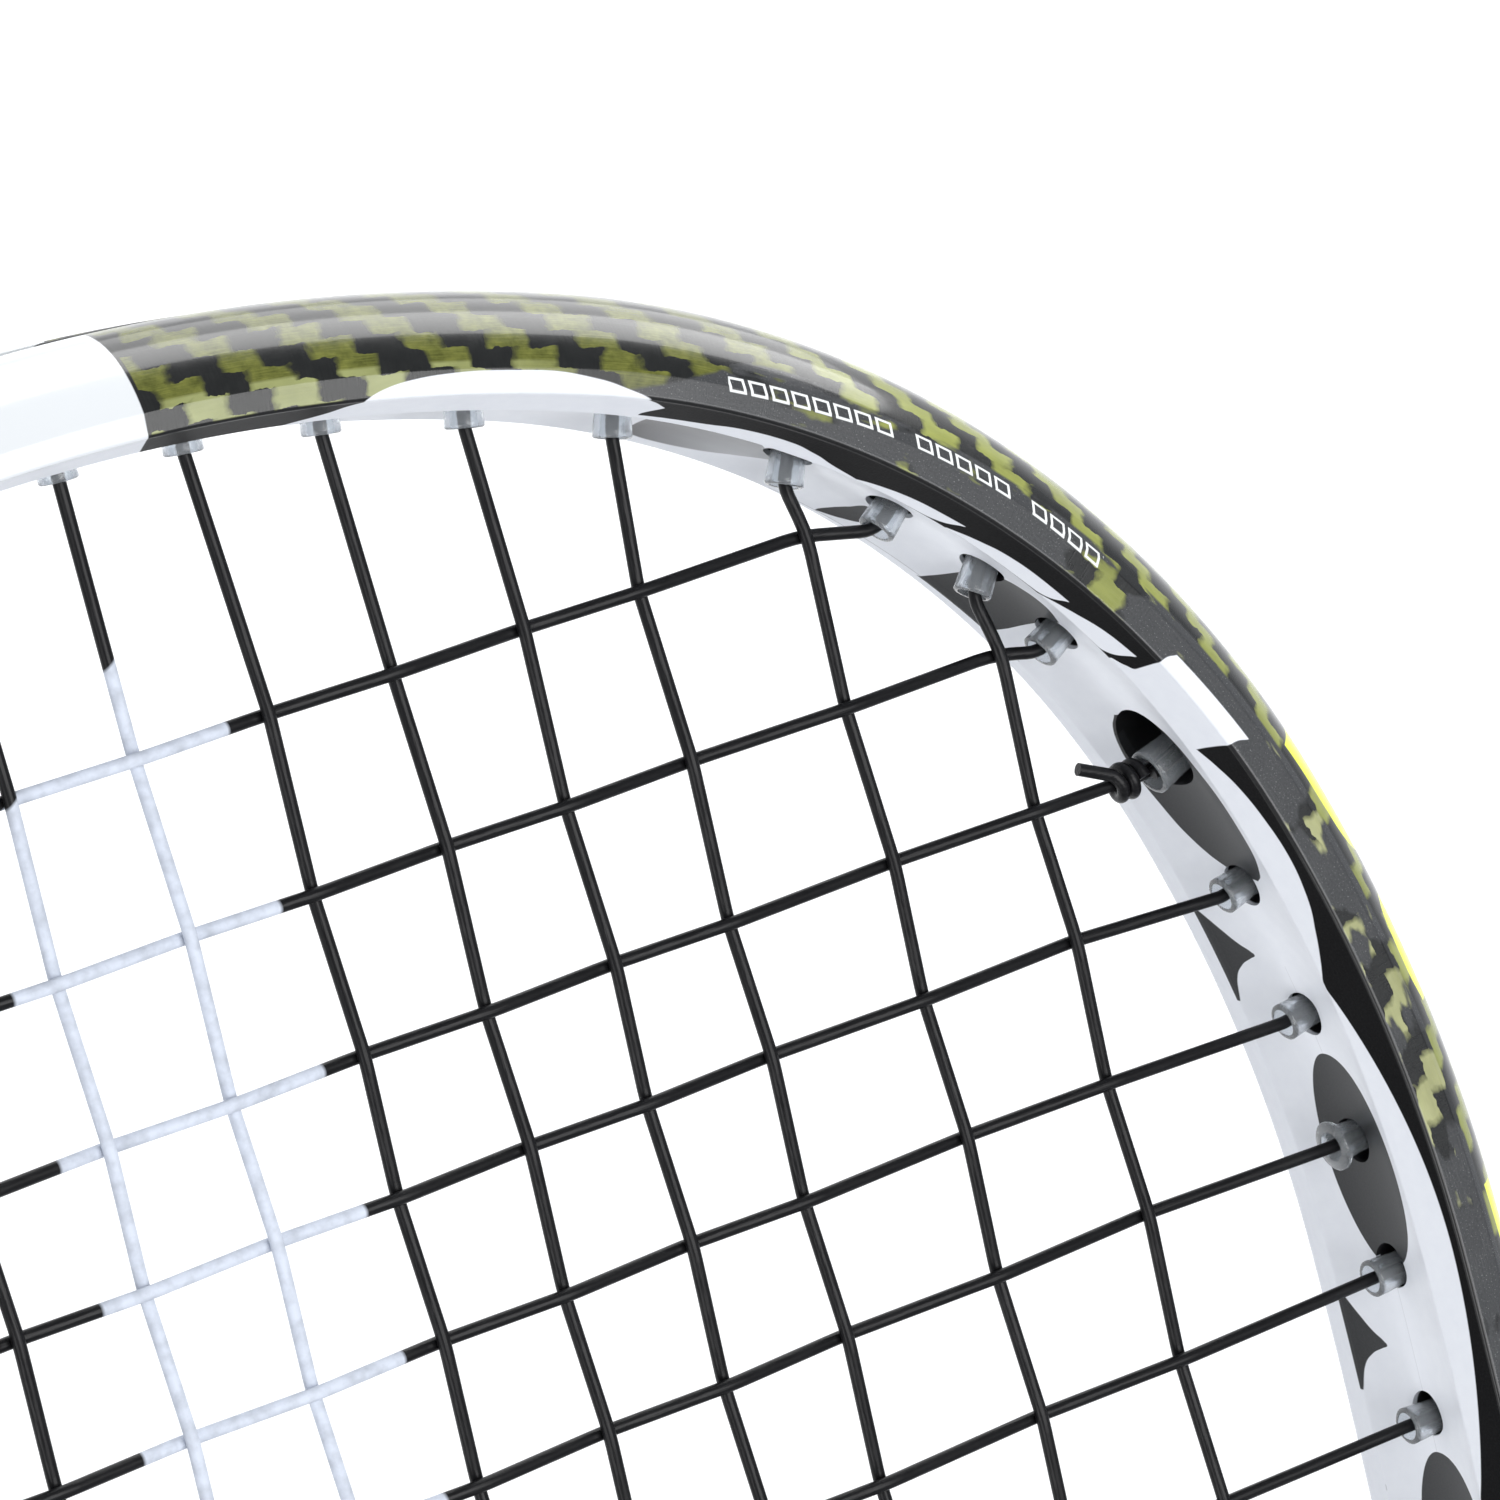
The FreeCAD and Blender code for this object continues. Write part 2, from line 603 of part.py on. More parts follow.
def barrels(holes, floor):
    """Barrel tubes and the bores through them and the strip, for some holes."""
    tubes = [h.rod(h.barrel_d(), BARREL_END_N, floor + BARREL_ROOT) for h in holes]
    bores = [h.rod(h.bore_d(), *HOLE_SPAN) for h in holes]
    return tubes, bores


def grommet_strip(holes, sides, low, high, floor=GROOVE[0], half=STRIP[1]):
    """A channel strip in the outer groove from low to high, one barrel for each hole."""
    rise = floor - GROOVE[0]
    section = strip_section(floor + FIT, STRIP[0] + rise, half, STRIP_LIP[0] + rise,
                            STRIP_LIP[1] * half / STRIP[1])
    run = swept_line((section,), low, high)
    if high == LEG_ANGLE:
        start = placed_face((section,), arc_at(high).point(high), normal(high))
        run.append(start.extrude(leg_tangent() * STRIP_TAIL))
    parts = []
    for side in sides:
        parts += run if side > 0 else [mirror_x(p) for p in run]
    tubes, bores = barrels(holes, floor)
    return joined(parts + tubes).cut(Part.makeCompound(bores))


def strip_split():
    """Where the tip strip gives way to the side strips: between cross rows 2 and 3."""
    return (RIGHTS[1].phi + RIGHTS[2].phi) / 2 - SPLIT_BACK


def tip_strip():
    holes = [h for h in HOLES if abs(h.phi) < strip_split()]
    return grommet_strip(holes, (1, -1), 0, strip_split())


def side_strip(side):
    holes = [h for h in HOLES if strip_split() < h.phi * side < BRIDGE_FIRST]
    return grommet_strip(holes, (side,), strip_split() + SPLIT_GAP, LEG_ANGLE)


def throat_strip(legs):
    holes = [h for h in FOOTS if h.in_bridge]
    first = min(abs(h.phi) for h in holes)
    half = BRIDGE_GROOVE[1] - BRIDGE_STRIP_SLACK
    strip = grommet_strip(holes, (1, -1), first, 180, BRIDGE_GROOVE[0], half)
    return largest(strip.cut(Part.makeCompound(legs)))


def bevelled(width, depth, corner, y):
    """An eight-sided wire, flats square to X and Z, at height y."""
    w, d = width / 2, depth / 2
    ring = [(w, d - corner), (w - corner, d), (corner - w, d), (-w, d - corner),
            (-w, corner - d), (corner - w, -d), (w - corner, -d), (w, corner - d)]
    return Part.makePolygon([Vector(x, y, z) for x, z in ring + ring[:1]])


def prism(profile, y0, y1, grow=0.0):
    """A bevelled bar between two heights, grow wider all round than its profile."""
    width, depth, corner = profile
    size = (width + 2 * grow, depth + 2 * grow, corner + grow * CORNER_GROWTH)
    return Part.makeLoft([bevelled(*size, y0), bevelled(*size, y1)], True, True)


def flare(stations):
    """A loft through bevelled rings given as (width, depth, corner, y)."""
    return Part.makeLoft([bevelled(*s) for s in stations], True, True)


def tube_block(x, depth, y0, y1):
    return Part.makeBox(2 * x, y1 - y0, 2 * depth, Vector(-x, y0, -depth))


def pallet(front):
    """One of the two moulded shells bonded round the hairpin."""
    shell = prism(PALLET, *PALLET_SPAN)
    width, depth, _ = PALLET
    low_z = PALLET_GAP / 2 if front else -PALLET_GAP / 2 - depth
    half = Part.makeBox(width, SHAFT_BOTTOM, depth, Vector(-width / 2, 0, low_z))
    legs_x, legs_z = FRAME_W + LEG_INNER_X + SNUG, HAIRPIN_HALF + SNUG
    room = tube_block(legs_x, legs_z, HAIRPIN_BOTTOM - SNUG, SHAFT_BOTTOM)
    return shell.common(half).cut(room)


def hairpin_plug(side):
    """A foam plug in the open end of one hairpin leg."""
    width, depth, length = PLUG
    plug = Part.makeBox(width, length, depth,
                        Vector(LEG_INNER_X + PLUG_X, HAIRPIN_BOTTOM, -depth / 2))
    plug = plug.makeFillet(PLUG_ROUND, [e for e in plug.Edges if abs(e.tangentAt(0).y) > LENGTHWISE])
    return plug if side > 0 else mirror_x(plug)


def shaft_wrap():
    """The outer laminate that binds the two legs into one shaft."""
    room = prism(shaft_profile(0), SHAFT_BOTTOM - OVERRUN, WRAP_TOP + OVERRUN)
    return prism(shaft_profile(0), SHAFT_BOTTOM + 1, WRAP_TOP, WRAP_WALL).cut(room)


def butt_cap():
    """A flared cup over the end of the pallets, with a shallow seat for its badge."""
    pw, pd, pc = PALLET
    skirt = grown(PALLET, CAP_WALL)
    base = [size - 2 * CAP_EDGE for size in CAP[:2]] + [CAP[2]]
    waist = [size - less for size, less in zip(CAP, CAP_WAIST_IN)]
    outer = flare([(*base, 0), (*CAP, CAP_EDGE), (*CAP, CAP_FLARE_TOP), (*waist, CAP_WAIST),
                   (*skirt, CAP_SKIRT), (*skirt, CAP_LENGTH)])
    room = prism((pw + SNUG, pd + SNUG, pc), PALLET_SPAN[0], CAP_LENGTH + OVERRUN)
    seat = Part.makeCylinder(BADGE_R + SNUG, BADGE_DEPTH, Vector(0, 0, 0), Y_AXIS)
    return outer.cut(room).cut(seat)


def butt_badge():
    disc = Part.makeCylinder(BADGE_R, BADGE_DEPTH, Vector(0, 0, 0), Y_AXIS)
    return disc.makeChamfer(BADGE_CHAMFER, disc.Edges[:1])


def cap_staple(face):
    """A wire staple through one of the cap's wide faces into the pallet behind it."""
    lift = PALLET[1] / 2 + CAP_WALL + STAPLE_WIRE / 2
    centre = Vector(0, CAP_LENGTH - STAPLE_DOWN, face * lift)
    along = Vector(STAPLE_W / 2, 0, 0)
    down = Vector(0, 0, -face * STAPLE_LEG)
    wire = rounded([(centre - along + down, 0), (centre - along, STAPLE_BEND),
                    (centre + along, STAPLE_BEND), (centre + along + down, 0)])
    return tube_along(wire, STAPLE_WIRE)


def grown(profile, grow):
    return profile[0] + 2 * grow, profile[1] + 2 * grow, profile[2] + CORNER_GROWTH * grow


def grip_base():
    """The wrapped grip as a plain sleeve, thicker over the cap's skirt."""
    low, high = GRIP_SPAN
    lap = CAP_WALL + GRIP_WALL
    outer = flare([(*grown(PALLET, lap), low), (*grown(PALLET, lap), CAP_LENGTH),
                   (*grown(PALLET, GRIP_WALL), CAP_LENGTH + GRIP_SWELL), (*grown(PALLET, GRIP_WALL), high)])
    skirt = prism(PALLET, low - PAST, CAP_LENGTH + CLOSE, CAP_WALL + CLOSE)
    return outer.cut(skirt).cut(prism(PALLET, CAP_LENGTH, high + PAST, SKIN))


def finishing_tape():
    """Tape round the grip's top end."""
    outer = prism(PALLET, *TAPE_SPAN, GRIP_WALL + TAPE_WALL)
    return outer.cut(prism(PALLET, TAPE_SPAN[0] - 1, GRIP_SPAN[1], GRIP_WALL)).cut(
        prism(PALLET, GRIP_SPAN[1] - PAST, TAPE_SPAN[1] + PAST, GRIP_WALL - TAPE_BITE))


def shaft_profile(grow):
    legs_x = FRAME_W + LEG_INNER_X + CLOSE
    return grown((2 * legs_x, 2 * BEAM_HALF + SNUG, SHAFT_CORNER), grow)


def grip_collar():
    """A rubber collar that covers the grip's taped end and narrows to the shaft."""
    low, high = COLLAR_SPAN
    wide, narrow = COLLAR_NECK
    fit = GRIP_WALL + TAPE_WALL + SKIN

    def stations(grow):
        return [(*grown(PALLET, fit + grow), low), (*grown(PALLET, fit + grow), wide),
                (*shaft_profile(WRAP_WALL + SKIN + grow), narrow),
                (*shaft_profile(WRAP_WALL + SKIN + grow), high)]

    room = flare([(*stations(0)[0][:3], low - 1)] + stations(0)[1:3]
                 + [(*stations(0)[3][:3], high + 1)])
    return flare(stations(COLLAR_WALL)).cut(room)


def save(name, shape):
    shape.exportStep("parts/%s.step" % name)
    print(name, len(shape.Solids), "solids, valid", shape.isValid(),
          "%.0f mm3" % shape.Volume)


def main():
    os.makedirs("parts", exist_ok=True)
    outer_only = (frame_section()[0],)
    legs = both_sides(swept_line(outer_only, 90, LEG_ANGLE) + leg_solids(outer_only))
    front_staple, back_staple = cap_staple(1), cap_staple(-1)
    staples = Part.makeCompound([front_staple, back_staple])
    save("head_frame", head_frame())
    save("throat_bridge", throat_bridge(legs))
    save("shaft_wrap", shaft_wrap())
    save("tip_bumper_strip", tip_strip())
    save("right_grommet_strip", side_strip(1))
    save("left_grommet_strip", side_strip(-1))
    save("throat_grommet_strip", throat_strip(legs))
    save("main_string", tube_along(rounded(main_route()), STRING_D))
    save("cross_string", tube_along(rounded(cross_route()), STRING_D))
    save("left_main_knot", knot(LEFTS[TIE_ROW], Vector(-1, 0, 0)))
    save("right_main_knot", knot(RIGHTS[TIE_ROW], Vector(1, 0, 0)))
    save("tip_cross_knot", knot(TOPS[START_COLUMN], Vector(0, 1, 0)))
    save("throat_cross_knot", knot(FOOTS[END_COLUMN], Vector(0, -1, 0)))
    save("left_hairpin_plug", hairpin_plug(-1))
    save("right_hairpin_plug", hairpin_plug(1))
    save("front_pallet", pallet(True).cut(staples))
    save("back_pallet", pallet(False).cut(staples))
    save("butt_cap", butt_cap().cut(front_staple).cut(back_staple))
    save("butt_badge", butt_badge())
    save("front_cap_staple", front_staple)
    save("back_cap_staple", back_staple)
    save("grip_base", grip_base().cut(staples))
    save("finishing_tape", finishing_tape())
    save("grip_collar", grip_collar())


if __name__ == "__main__":
    main()
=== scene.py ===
"""Looks of the squash racket: lacquered hoop with real string holes, clear barrels, strings, grip."""
import bmesh
import bpy
import numpy as np
from functools import reduce
from math import acos, cos, hypot, pi, radians, sin, tan
from mathutils import Matrix, Vector


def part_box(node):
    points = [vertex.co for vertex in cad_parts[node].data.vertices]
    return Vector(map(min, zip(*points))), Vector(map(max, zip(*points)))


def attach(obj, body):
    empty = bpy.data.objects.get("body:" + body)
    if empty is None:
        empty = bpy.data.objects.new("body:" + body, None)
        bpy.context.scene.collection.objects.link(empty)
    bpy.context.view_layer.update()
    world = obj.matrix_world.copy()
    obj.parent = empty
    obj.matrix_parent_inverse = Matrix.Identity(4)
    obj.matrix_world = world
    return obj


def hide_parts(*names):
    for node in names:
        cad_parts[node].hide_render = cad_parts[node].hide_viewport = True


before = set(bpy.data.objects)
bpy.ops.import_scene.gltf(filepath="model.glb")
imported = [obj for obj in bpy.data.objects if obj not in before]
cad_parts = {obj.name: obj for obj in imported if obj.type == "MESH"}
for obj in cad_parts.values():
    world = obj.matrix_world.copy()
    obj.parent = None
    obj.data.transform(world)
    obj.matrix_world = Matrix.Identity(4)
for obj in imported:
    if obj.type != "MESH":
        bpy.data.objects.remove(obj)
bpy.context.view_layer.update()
MM = 0.001

# ---- dimensions in millimetres, angles in degrees ----
# The wall line's arcs, the string places and the camera come from a scratch program's fits to the
# photo, rounded and in part adjusted by hand.
FRAME_W = 9.8                      # from the wall line to the outside of the hoop
TIP_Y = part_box("head_frame")[1].y / MM - FRAME_W
HEAD_HALF_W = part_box("head_frame")[1].x / MM - FRAME_W
BUTT_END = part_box("head_frame")[0].y / MM
TIP_R, TIP_END = 141.4, 17.8       # the wall line's arcs: radius, and the angle where each ends
SHOULDER_R, SHOULDER_END = 74.3, 71.3
FLANK_R, FLANK_END = 500.0, 108
HEEL_R, YOKE_HEEL_END = 75.0, 140
LEG_INNER_X = -0.3
LEG_ANGLE, LEG_BEND_R = 118.0, 85.0
BRIDGE_PHI = 130                   # holes beyond this angle are in the throat bridge
HANDLE_Y, HANDLE_SQUASH = (205, 215), (0.69, 1.0)

WALL_Z = 6.7                       # the dished inner wall reaches this far either way
WALL_DISH_N, CREASE_N = 2.1, 0.8
WALL_POINTS = 17
BEVEL_TOP = (1.85, 10.9)
BEAM_HALF = 11.0
FACET_S = (0, 60, 70, 80, 90)      # where the front facet meets the outer bevel
FACET_N = (3.6, 3.8, 4.0, 4.25, 4.65)
BULGE, OUTER_FOOT = (7.9, 8.2), (FRAME_W, 4.0)
GROOVE_LIP, GROOVE_FLOOR = (FRAME_W, 3.0), (8.3, 2.8)
CREASE_R, BEVEL_R, FACET_R, LIP_R, FLOOR_R = 0.5, 0.35, 0.3, 0.35, 0.3
HOLD = 0.05                        # points held this far outside each rounded corner
BEVEL_LEN = hypot(BEVEL_TOP[0] - CREASE_N, BEVEL_TOP[1] - WALL_Z)
T_BEVEL = WALL_Z + BEVEL_LEN       # section coordinate where the front facet starts
MID_DEPTH = 5.5                    # halfway from the inner wall to the outside
FINE_TO, FINE_STEP, COARSE_STEP = 330, 1.2, 3.5

MAINS_X = (5.35, 16.2, 27.35, 38.35, 49.2, 64.0, 78.1)
CROSS_TOP_Y = (653.7, 640.0, 627.3, 616.4, 604.9, 593.75)
CROSS_COUNT = 18
CROSS_GAP_FIRST, CROSS_GAP_LAST = 11.2, 15.5
MAIN_SLIDES = (0.0, -0.7, -0.7, -0.1, 1.0, -0.7, -1.4)
CROSS_SLIDES = (2.1, 1.1, 0.2, 0.8, 0.7, 0.5)
TIE_ROW, TIE_COLUMN = 2, 5         # the row and the main whose barrels also hold a tie-off
TIE_SHIFT = 0.54
FLARED_ROW, FLARE = 5, 1.36        # one barrel has a wider rim
BARREL_R, TIE_BARREL_R, BARREL_WALL = 1.4, 1.8, 0.42
BARREL_TILT = 0.25
MOUTH_N = -0.2
POCKET_R, POCKET_REACH, POCKET_SHORT = 2.0, 2.3, 1.5
TIE_MAIN_POCKET_R = 2.6
TIE_POCKET = (4.7, 3.0, 3.9, -0.3)  # reach back, reach ahead, half height, shift in z
POCKET_SPAN, POCKET_POINTS = (-1.5, 5.2), 36
STRIP_HALF, STRIP_LIP_HALF = 2.55, 1.7
STRIP_N = (8.32, 8.7, 9.4)         # strip: underside, floor and top of its lips
STRIP_STEP, STRIP_TAIL, BARREL_ROOT_N = 1.5, 11, 8.6
STRIP_RADII = (0.1, 0.2, 0.2, 0.15, 0.15, 0.2, 0.2, 0.1)
BRIDGE_STRIP_HALF, BRIDGE_STRIP_RISE, BRIDGE_STRIP_REACH = 1.95, -2.0, 50


# ---- the hoop's line ----
class Arc:
    """An arc of the wall line; phi is the normal's angle from +Y towards +X."""

    def __init__(self, centre, radius, phi0, phi1):
        self.c, self.r, self.phi0, self.phi1 = centre, radius, phi0, phi1
        self.length = abs(radius * radians(phi1 - phi0))
        self.side = 1 if phi1 > phi0 else -1

    def at(self, s):
        phi = self.phi0 + (self.phi1 - self.phi0) * s / self.length
        n = nrm(phi)
        return self.c[0] + self.side * self.r * n[0], self.c[1] + self.side * self.r * n[1], phi

    def locate(self, x, y):
        """Length along the arc and distance off it, for arrays of points."""
        dx, dy = x - self.c[0], y - self.c[1]
        phi = np.degrees(np.arctan2(dx * self.side, dy * self.side))
        s = (phi - self.phi0) / (self.phi1 - self.phi0) * self.length
        return s, self.side * (np.hypot(dx, dy) - self.r)


class Run:
    """A straight of the wall line."""

    def __init__(self, start, phi, length):
        self.p, self.phi, self.length = start, phi, length

    def at(self, s):
        n = nrm(self.phi)
        return self.p[0] + n[1] * s, self.p[1] - n[0] * s, self.phi

    def locate(self, x, y):
        u, v = nrm(self.phi)
        dx, dy = x - self.p[0], y - self.p[1]
        return dx * v - dy * u, dx * u + dy * v


def nrm(phi):
    return sin(radians(phi)), cos(radians(phi))


def end_of(piece):
    return piece.at(piece.length)[:2]


class Line:
    """Pieces end to end; the parameter s is the length from the start."""

    def __init__(self, pieces):
        self.pieces = pieces
        self.ends = np.cumsum([p.length for p in pieces])
        self.length = float(self.ends[-1])

    def at(self, s):
        k = min(int(np.searchsorted(self.ends, s)), len(self.pieces) - 1)
        return self.pieces[k].at(s - (self.ends[k] - self.pieces[k].length))

    def point(self, s, n=0.0, z=0.0):
        """Signed s: the left half mirrors the right."""
        x, y, phi = self.at(abs(s))
        u, v = nrm(phi)
        side = 1 if s >= 0 else -1
        return np.array([side * (x + n * u), y + n * v, z])

    def normal(self, s):
        u, v = nrm(self.at(abs(s))[2])
        return np.array([u if s >= 0 else -u, v, 0.0])


def chained(start, phi0, *spec):
    """Arcs (radius, end phi) one after another from a point."""
    out, p = [], start
    for radius, phi1 in spec:
        n = nrm(phi0)
        arc = Arc((p[0] - radius * n[0], p[1] - radius * n[1]), radius, phi0, phi1)
        out.append(arc)
        p = end_of(arc)
        phi0 = phi1
    return out


def make_lines():
    """The line from the tip down a leg to the butt, and the line round the closed head."""
    top = chained((0, TIP_Y), 0, (TIP_R, TIP_END), (SHOULDER_R, SHOULDER_END))
    p = end_of(top[-1])
    side_r = (HEAD_HALF_W - p[0]) / (1 - sin(radians(SHOULDER_END)))
    head = top + chained(p, SHOULDER_END, (side_r, 90), (FLANK_R, FLANK_END))
    p = end_of(head[-1])
    heel = chained(p, FLANK_END, (HEEL_R, LEG_ANGLE))
    q = end_of(heel[-1])
    slope = radians(LEG_ANGLE - 90)
    bend_dx = LEG_BEND_R * (1 - cos(slope))
    run = Run(q, LEG_ANGLE, (q[0] - bend_dx - LEG_INNER_X) / sin(slope))
    r = end_of(run)
    n = nrm(LEG_ANGLE)
    bend = Arc((r[0] + LEG_BEND_R * n[0], r[1] + LEG_BEND_R * n[1]), LEG_BEND_R, LEG_ANGLE, 90)
    b = end_of(bend)
    shaft = Run(b, 90, b[1] - BUTT_END)
    corner = chained(p, FLANK_END, (HEEL_R, YOKE_HEEL_END))
    w = end_of(corner[-1])
    yoke = corner + chained(w, YOKE_HEEL_END, (w[0] / sin(radians(YOKE_HEEL_END)), 180))
    return Line(head + heel + [run, bend, shaft]), Line(head + yoke), float(
        np.cumsum([a.length for a in head + heel])[-1])


LEG_LINE, HEAD_LINE, LEG_S = make_lines()    # LEG_S: where the leg's straight starts
HALF = HEAD_LINE.length


def s_where(value, axis, grows, low, high):
    """Length along the head at which the barrels' mouths reach an x or a y."""
    for _ in range(50):
        mid = (low + high) / 2
        short = (HEAD_LINE.point(mid, MOUTH_N)[axis] < value) == grows
        low, high = (mid, high) if short else (low, mid)
    return (low + high) / 2


def rows():
    """Heights of the cross rows; below the head's top the gaps grow towards the throat."""
    out = list(CROSS_TOP_Y)
    extra = CROSS_COUNT - len(out)
    for k in range(1, extra + 1):
        eased = 1 - (1 - k / extra) ** 2
        out.append(out[-1] - CROSS_GAP_FIRST - (CROSS_GAP_LAST - CROSS_GAP_FIRST) * eased)
    return out


ROWS = rows()


def row_s(j):
    return s_where(ROWS[j], 1, False, 0, HALF) + (CROSS_SLIDES[j] if j < len(CROSS_SLIDES) else 0)


class Hole:
    """A string hole; tie is 1 for the cross tie-off, -1 for the main's, 0 for the others."""

    def __init__(self, s, way, tie=0, flare=1.0):
        self.s, self.tie, self.flare = s, tie, flare
        n = HEAD_LINE.normal(s)
        self.in_bridge = HEAD_LINE.at(abs(s))[2] > BRIDGE_PHI
        tilt = 1.0 if self.in_bridge else BARREL_TILT
        d = n * (1 - tilt) + np.array(way, float) * tilt
        self.dir = d / np.linalg.norm(d)
        self.mouth = HEAD_LINE.point(s, MOUTH_N)
        self.rise = float(self.dir @ n)
        along = np.array([n[1], -n[0], 0.0]) * (1 if s >= 0 else -1)
        self.lean = float(np.array(way, float) @ along)   # which way along s the string goes


def all_holes():
    out = []
    for side in (1, -1):
        for i, x in enumerate(MAINS_X):
            tie = -1 if i == TIE_COLUMN and side < 0 else 0
            top = s_where(x, 0, True, 0, 99) + MAIN_SLIDES[i]
            foot = s_where(x, 0, False, 160.0, HALF)
            out.append(Hole(side * top, (0, 1, 0), tie))
            out.append(Hole(side * foot, (0, -1, 0), tie))
        for j in range(CROSS_COUNT):
            flare = FLARE if j == FLARED_ROW else 1.0
            out.append(Hole(side * row_s(j), (side, 0, 0), 1 if j == TIE_ROW else 0, flare))
    return out


HOLES = all_holes()


# ---- mesh helpers ----
def mesh_object(name, verts, faces, smooth=True):
    mesh = bpy.data.meshes.new(name)
    mesh.from_pydata([tuple(v) for v in verts], [], faces)
    mesh.validate()
    mesh.update()
    obj = bpy.data.objects.new(name, mesh)
    bpy.context.scene.collection.objects.link(obj)
    for p in mesh.polygons:
        p.use_smooth = smooth
    return obj


def face_outward(obj):
    bm = bmesh.new()
    bm.from_mesh(obj.data)
    bmesh.ops.recalc_face_normals(bm, faces=bm.faces)
    bm.to_mesh(obj.data)
    bm.free()


def tube_faces(rings, per, capped=True):
    faces = []
    for i in range(rings - 1):
        for j in range(per):
            k = (j + 1) % per
            faces.append((i * per + j, (i + 1) * per + j, (i + 1) * per + k, i * per + k))
    if capped:
        faces.append(tuple(range(per)))
        faces.append(tuple((rings - 1) * per + j for j in reversed(range(per))))
    return faces


def merged(pieces):
    """Joins (verts, faces) pairs into one pair."""
    verts, faces, base = [], [], 0
    for v, f in pieces:
        verts.append(v)
        faces += [tuple(i + base for i in face) for face in f]
        base += len(v)
    return np.concatenate(verts), faces


def rounded(points, radii, steps=4, hold=0.0):
    """A closed outline with its corners rounded, and a point held each side of every corner."""
    out = []
    count = len(points)
    for i in range(count):
        a, p, b = (np.array(points[(i + k) % count], float) for k in (-1, 0, 1))
        r = radii[i]
        if r <= 0:
            out.append(p)
            continue
        u, v = (a - p) / np.linalg.norm(a - p), (b - p) / np.linalg.norm(b - p)
        half = acos(max(-1, min(1, float(u @ v)))) / 2
        back = min(r / tan(half), 0.45 * np.linalg.norm(a - p), 0.45 * np.linalg.norm(b - p))
        p0, p2 = p + u * back, p + v * back
        if hold:
            out.append(p0 + u * hold)
        for k in range(steps + 1):
            t = k / steps
            out.append((1 - t) ** 2 * p0 + 2 * t * (1 - t) * p + t ** 2 * p2)
        if hold:
            out.append(p2 + v * hold)
    return np.array(out)


def arc_points(a, mid, b, count):
    """Points of the circle through three points, from a to b, without b."""
    a, mid, b = (np.array(p, float) for p in (a, mid, b))
    m = np.array([mid - a, b - a]) * 2
    rhs = np.array([mid @ mid - a @ a, b @ b - a @ a])
    c = np.linalg.solve(m, rhs)
    a0, a1 = (np.arctan2(*(p - c)[::-1]) for p in (a, b))
    if a1 - a0 > pi:
        a1 -= 2 * pi
    if a0 - a1 > pi:
        a1 += 2 * pi
    r = np.linalg.norm(a - c)
    return [c + r * np.array([cos(t), sin(t)]) for t in np.linspace(a0, a1, count)[:-1]]


def frame_section(s):
    """The closed outline of the frame's section at s, as (n, z) rows from the rear crease."""
    facet_end = float(np.interp(abs(s), FACET_S, FACET_N))
    wall = [(WALL_DISH_N - (WALL_DISH_N - CREASE_N) * (z / WALL_Z) ** 2, z)
            for z in np.linspace(-WALL_Z, WALL_Z, WALL_POINTS)]
    outer = arc_points((facet_end, BEAM_HALF), BULGE, OUTER_FOOT, 13)
    pts, rad = list(wall), [0] * WALL_POINTS
    rad[0] = rad[-1] = CREASE_R
    front = [(BEVEL_TOP, BEVEL_R)]
    front += [(tuple(p), FACET_R if k == 0 else 0) for k, p in enumerate(outer)]
    front += [(OUTER_FOOT, 0), (GROOVE_LIP, LIP_R), (GROOVE_FLOOR, FLOOR_R)]
    for p, r in front:
        pts.append(p)
        rad.append(r)
    for p, r in reversed(front):
        pts.append((p[0], -p[1]))
        rad.append(r)
    return rounded(pts, rad, hold=HOLD)


def swept(line, s_values, section_of, squash=None):
    """A section carried along a line, from one end to the other."""
    rings = []
    for s in s_values:
        sec = section_of(s)
        x, y, phi = line.at(abs(s))
        u, v = nrm(phi)
        side = 1 if s >= 0 else -1
        z = sec[:, 1] * (squash(y) if squash else 1.0)
        rings.append(np.stack([side * (x + sec[:, 0] * u), y + sec[:, 0] * v, z], 1))
    return np.concatenate(rings) * MM, tube_faces(len(rings), len(rings[0]))


def handle_squash(y):
    """The tubes are flattened where they run inside the handle."""
    return float(np.interp(y, HANDLE_Y, HANDLE_SQUASH))


def stations(length):
    """Places for the sections, closer together round the head."""
    close, wide = np.arange(0, FINE_TO, FINE_STEP), np.arange(FINE_TO, length, COARSE_STEP)
    return np.concatenate([close, wide, [length]])


half_way = stations(LEG_LINE.length)
both_ways = np.concatenate([-half_way[:0:-1], half_way])
hoop = mesh_object("hoop", *swept(LEG_LINE, both_ways, frame_section, handle_squash))


# ---- string holes cut into the hoop ----
def pocket(hole):
    """A blind oval hole in the inner wall, longer on the side the barrel leans to."""
    if hole.tie == 1:
        back, ahead, height, mid_z = TIE_POCKET
        if hole.s < 0:
            back, ahead = ahead, back
    else:
        back = POCKET_REACH if hole.lean < 0 else POCKET_SHORT
        ahead = POCKET_REACH if hole.lean > 0 else POCKET_SHORT
        height = TIE_MAIN_POCKET_R if hole.tie else POCKET_R
        mid_z = TIE_SHIFT * hole.tie
    outline = []
    for k in range(POCKET_POINTS):
        a = 2 * pi * k / POCKET_POINTS
        reach = ahead if cos(a) > 0 else back
        outline.append((reach * cos(a), height * sin(a) + mid_z))
    verts = [HEAD_LINE.point(hole.s + ds, n, z) for n in POCKET_SPAN for ds, z in outline]
    return np.array(verts) * MM, tube_faces(2, POCKET_POINTS)


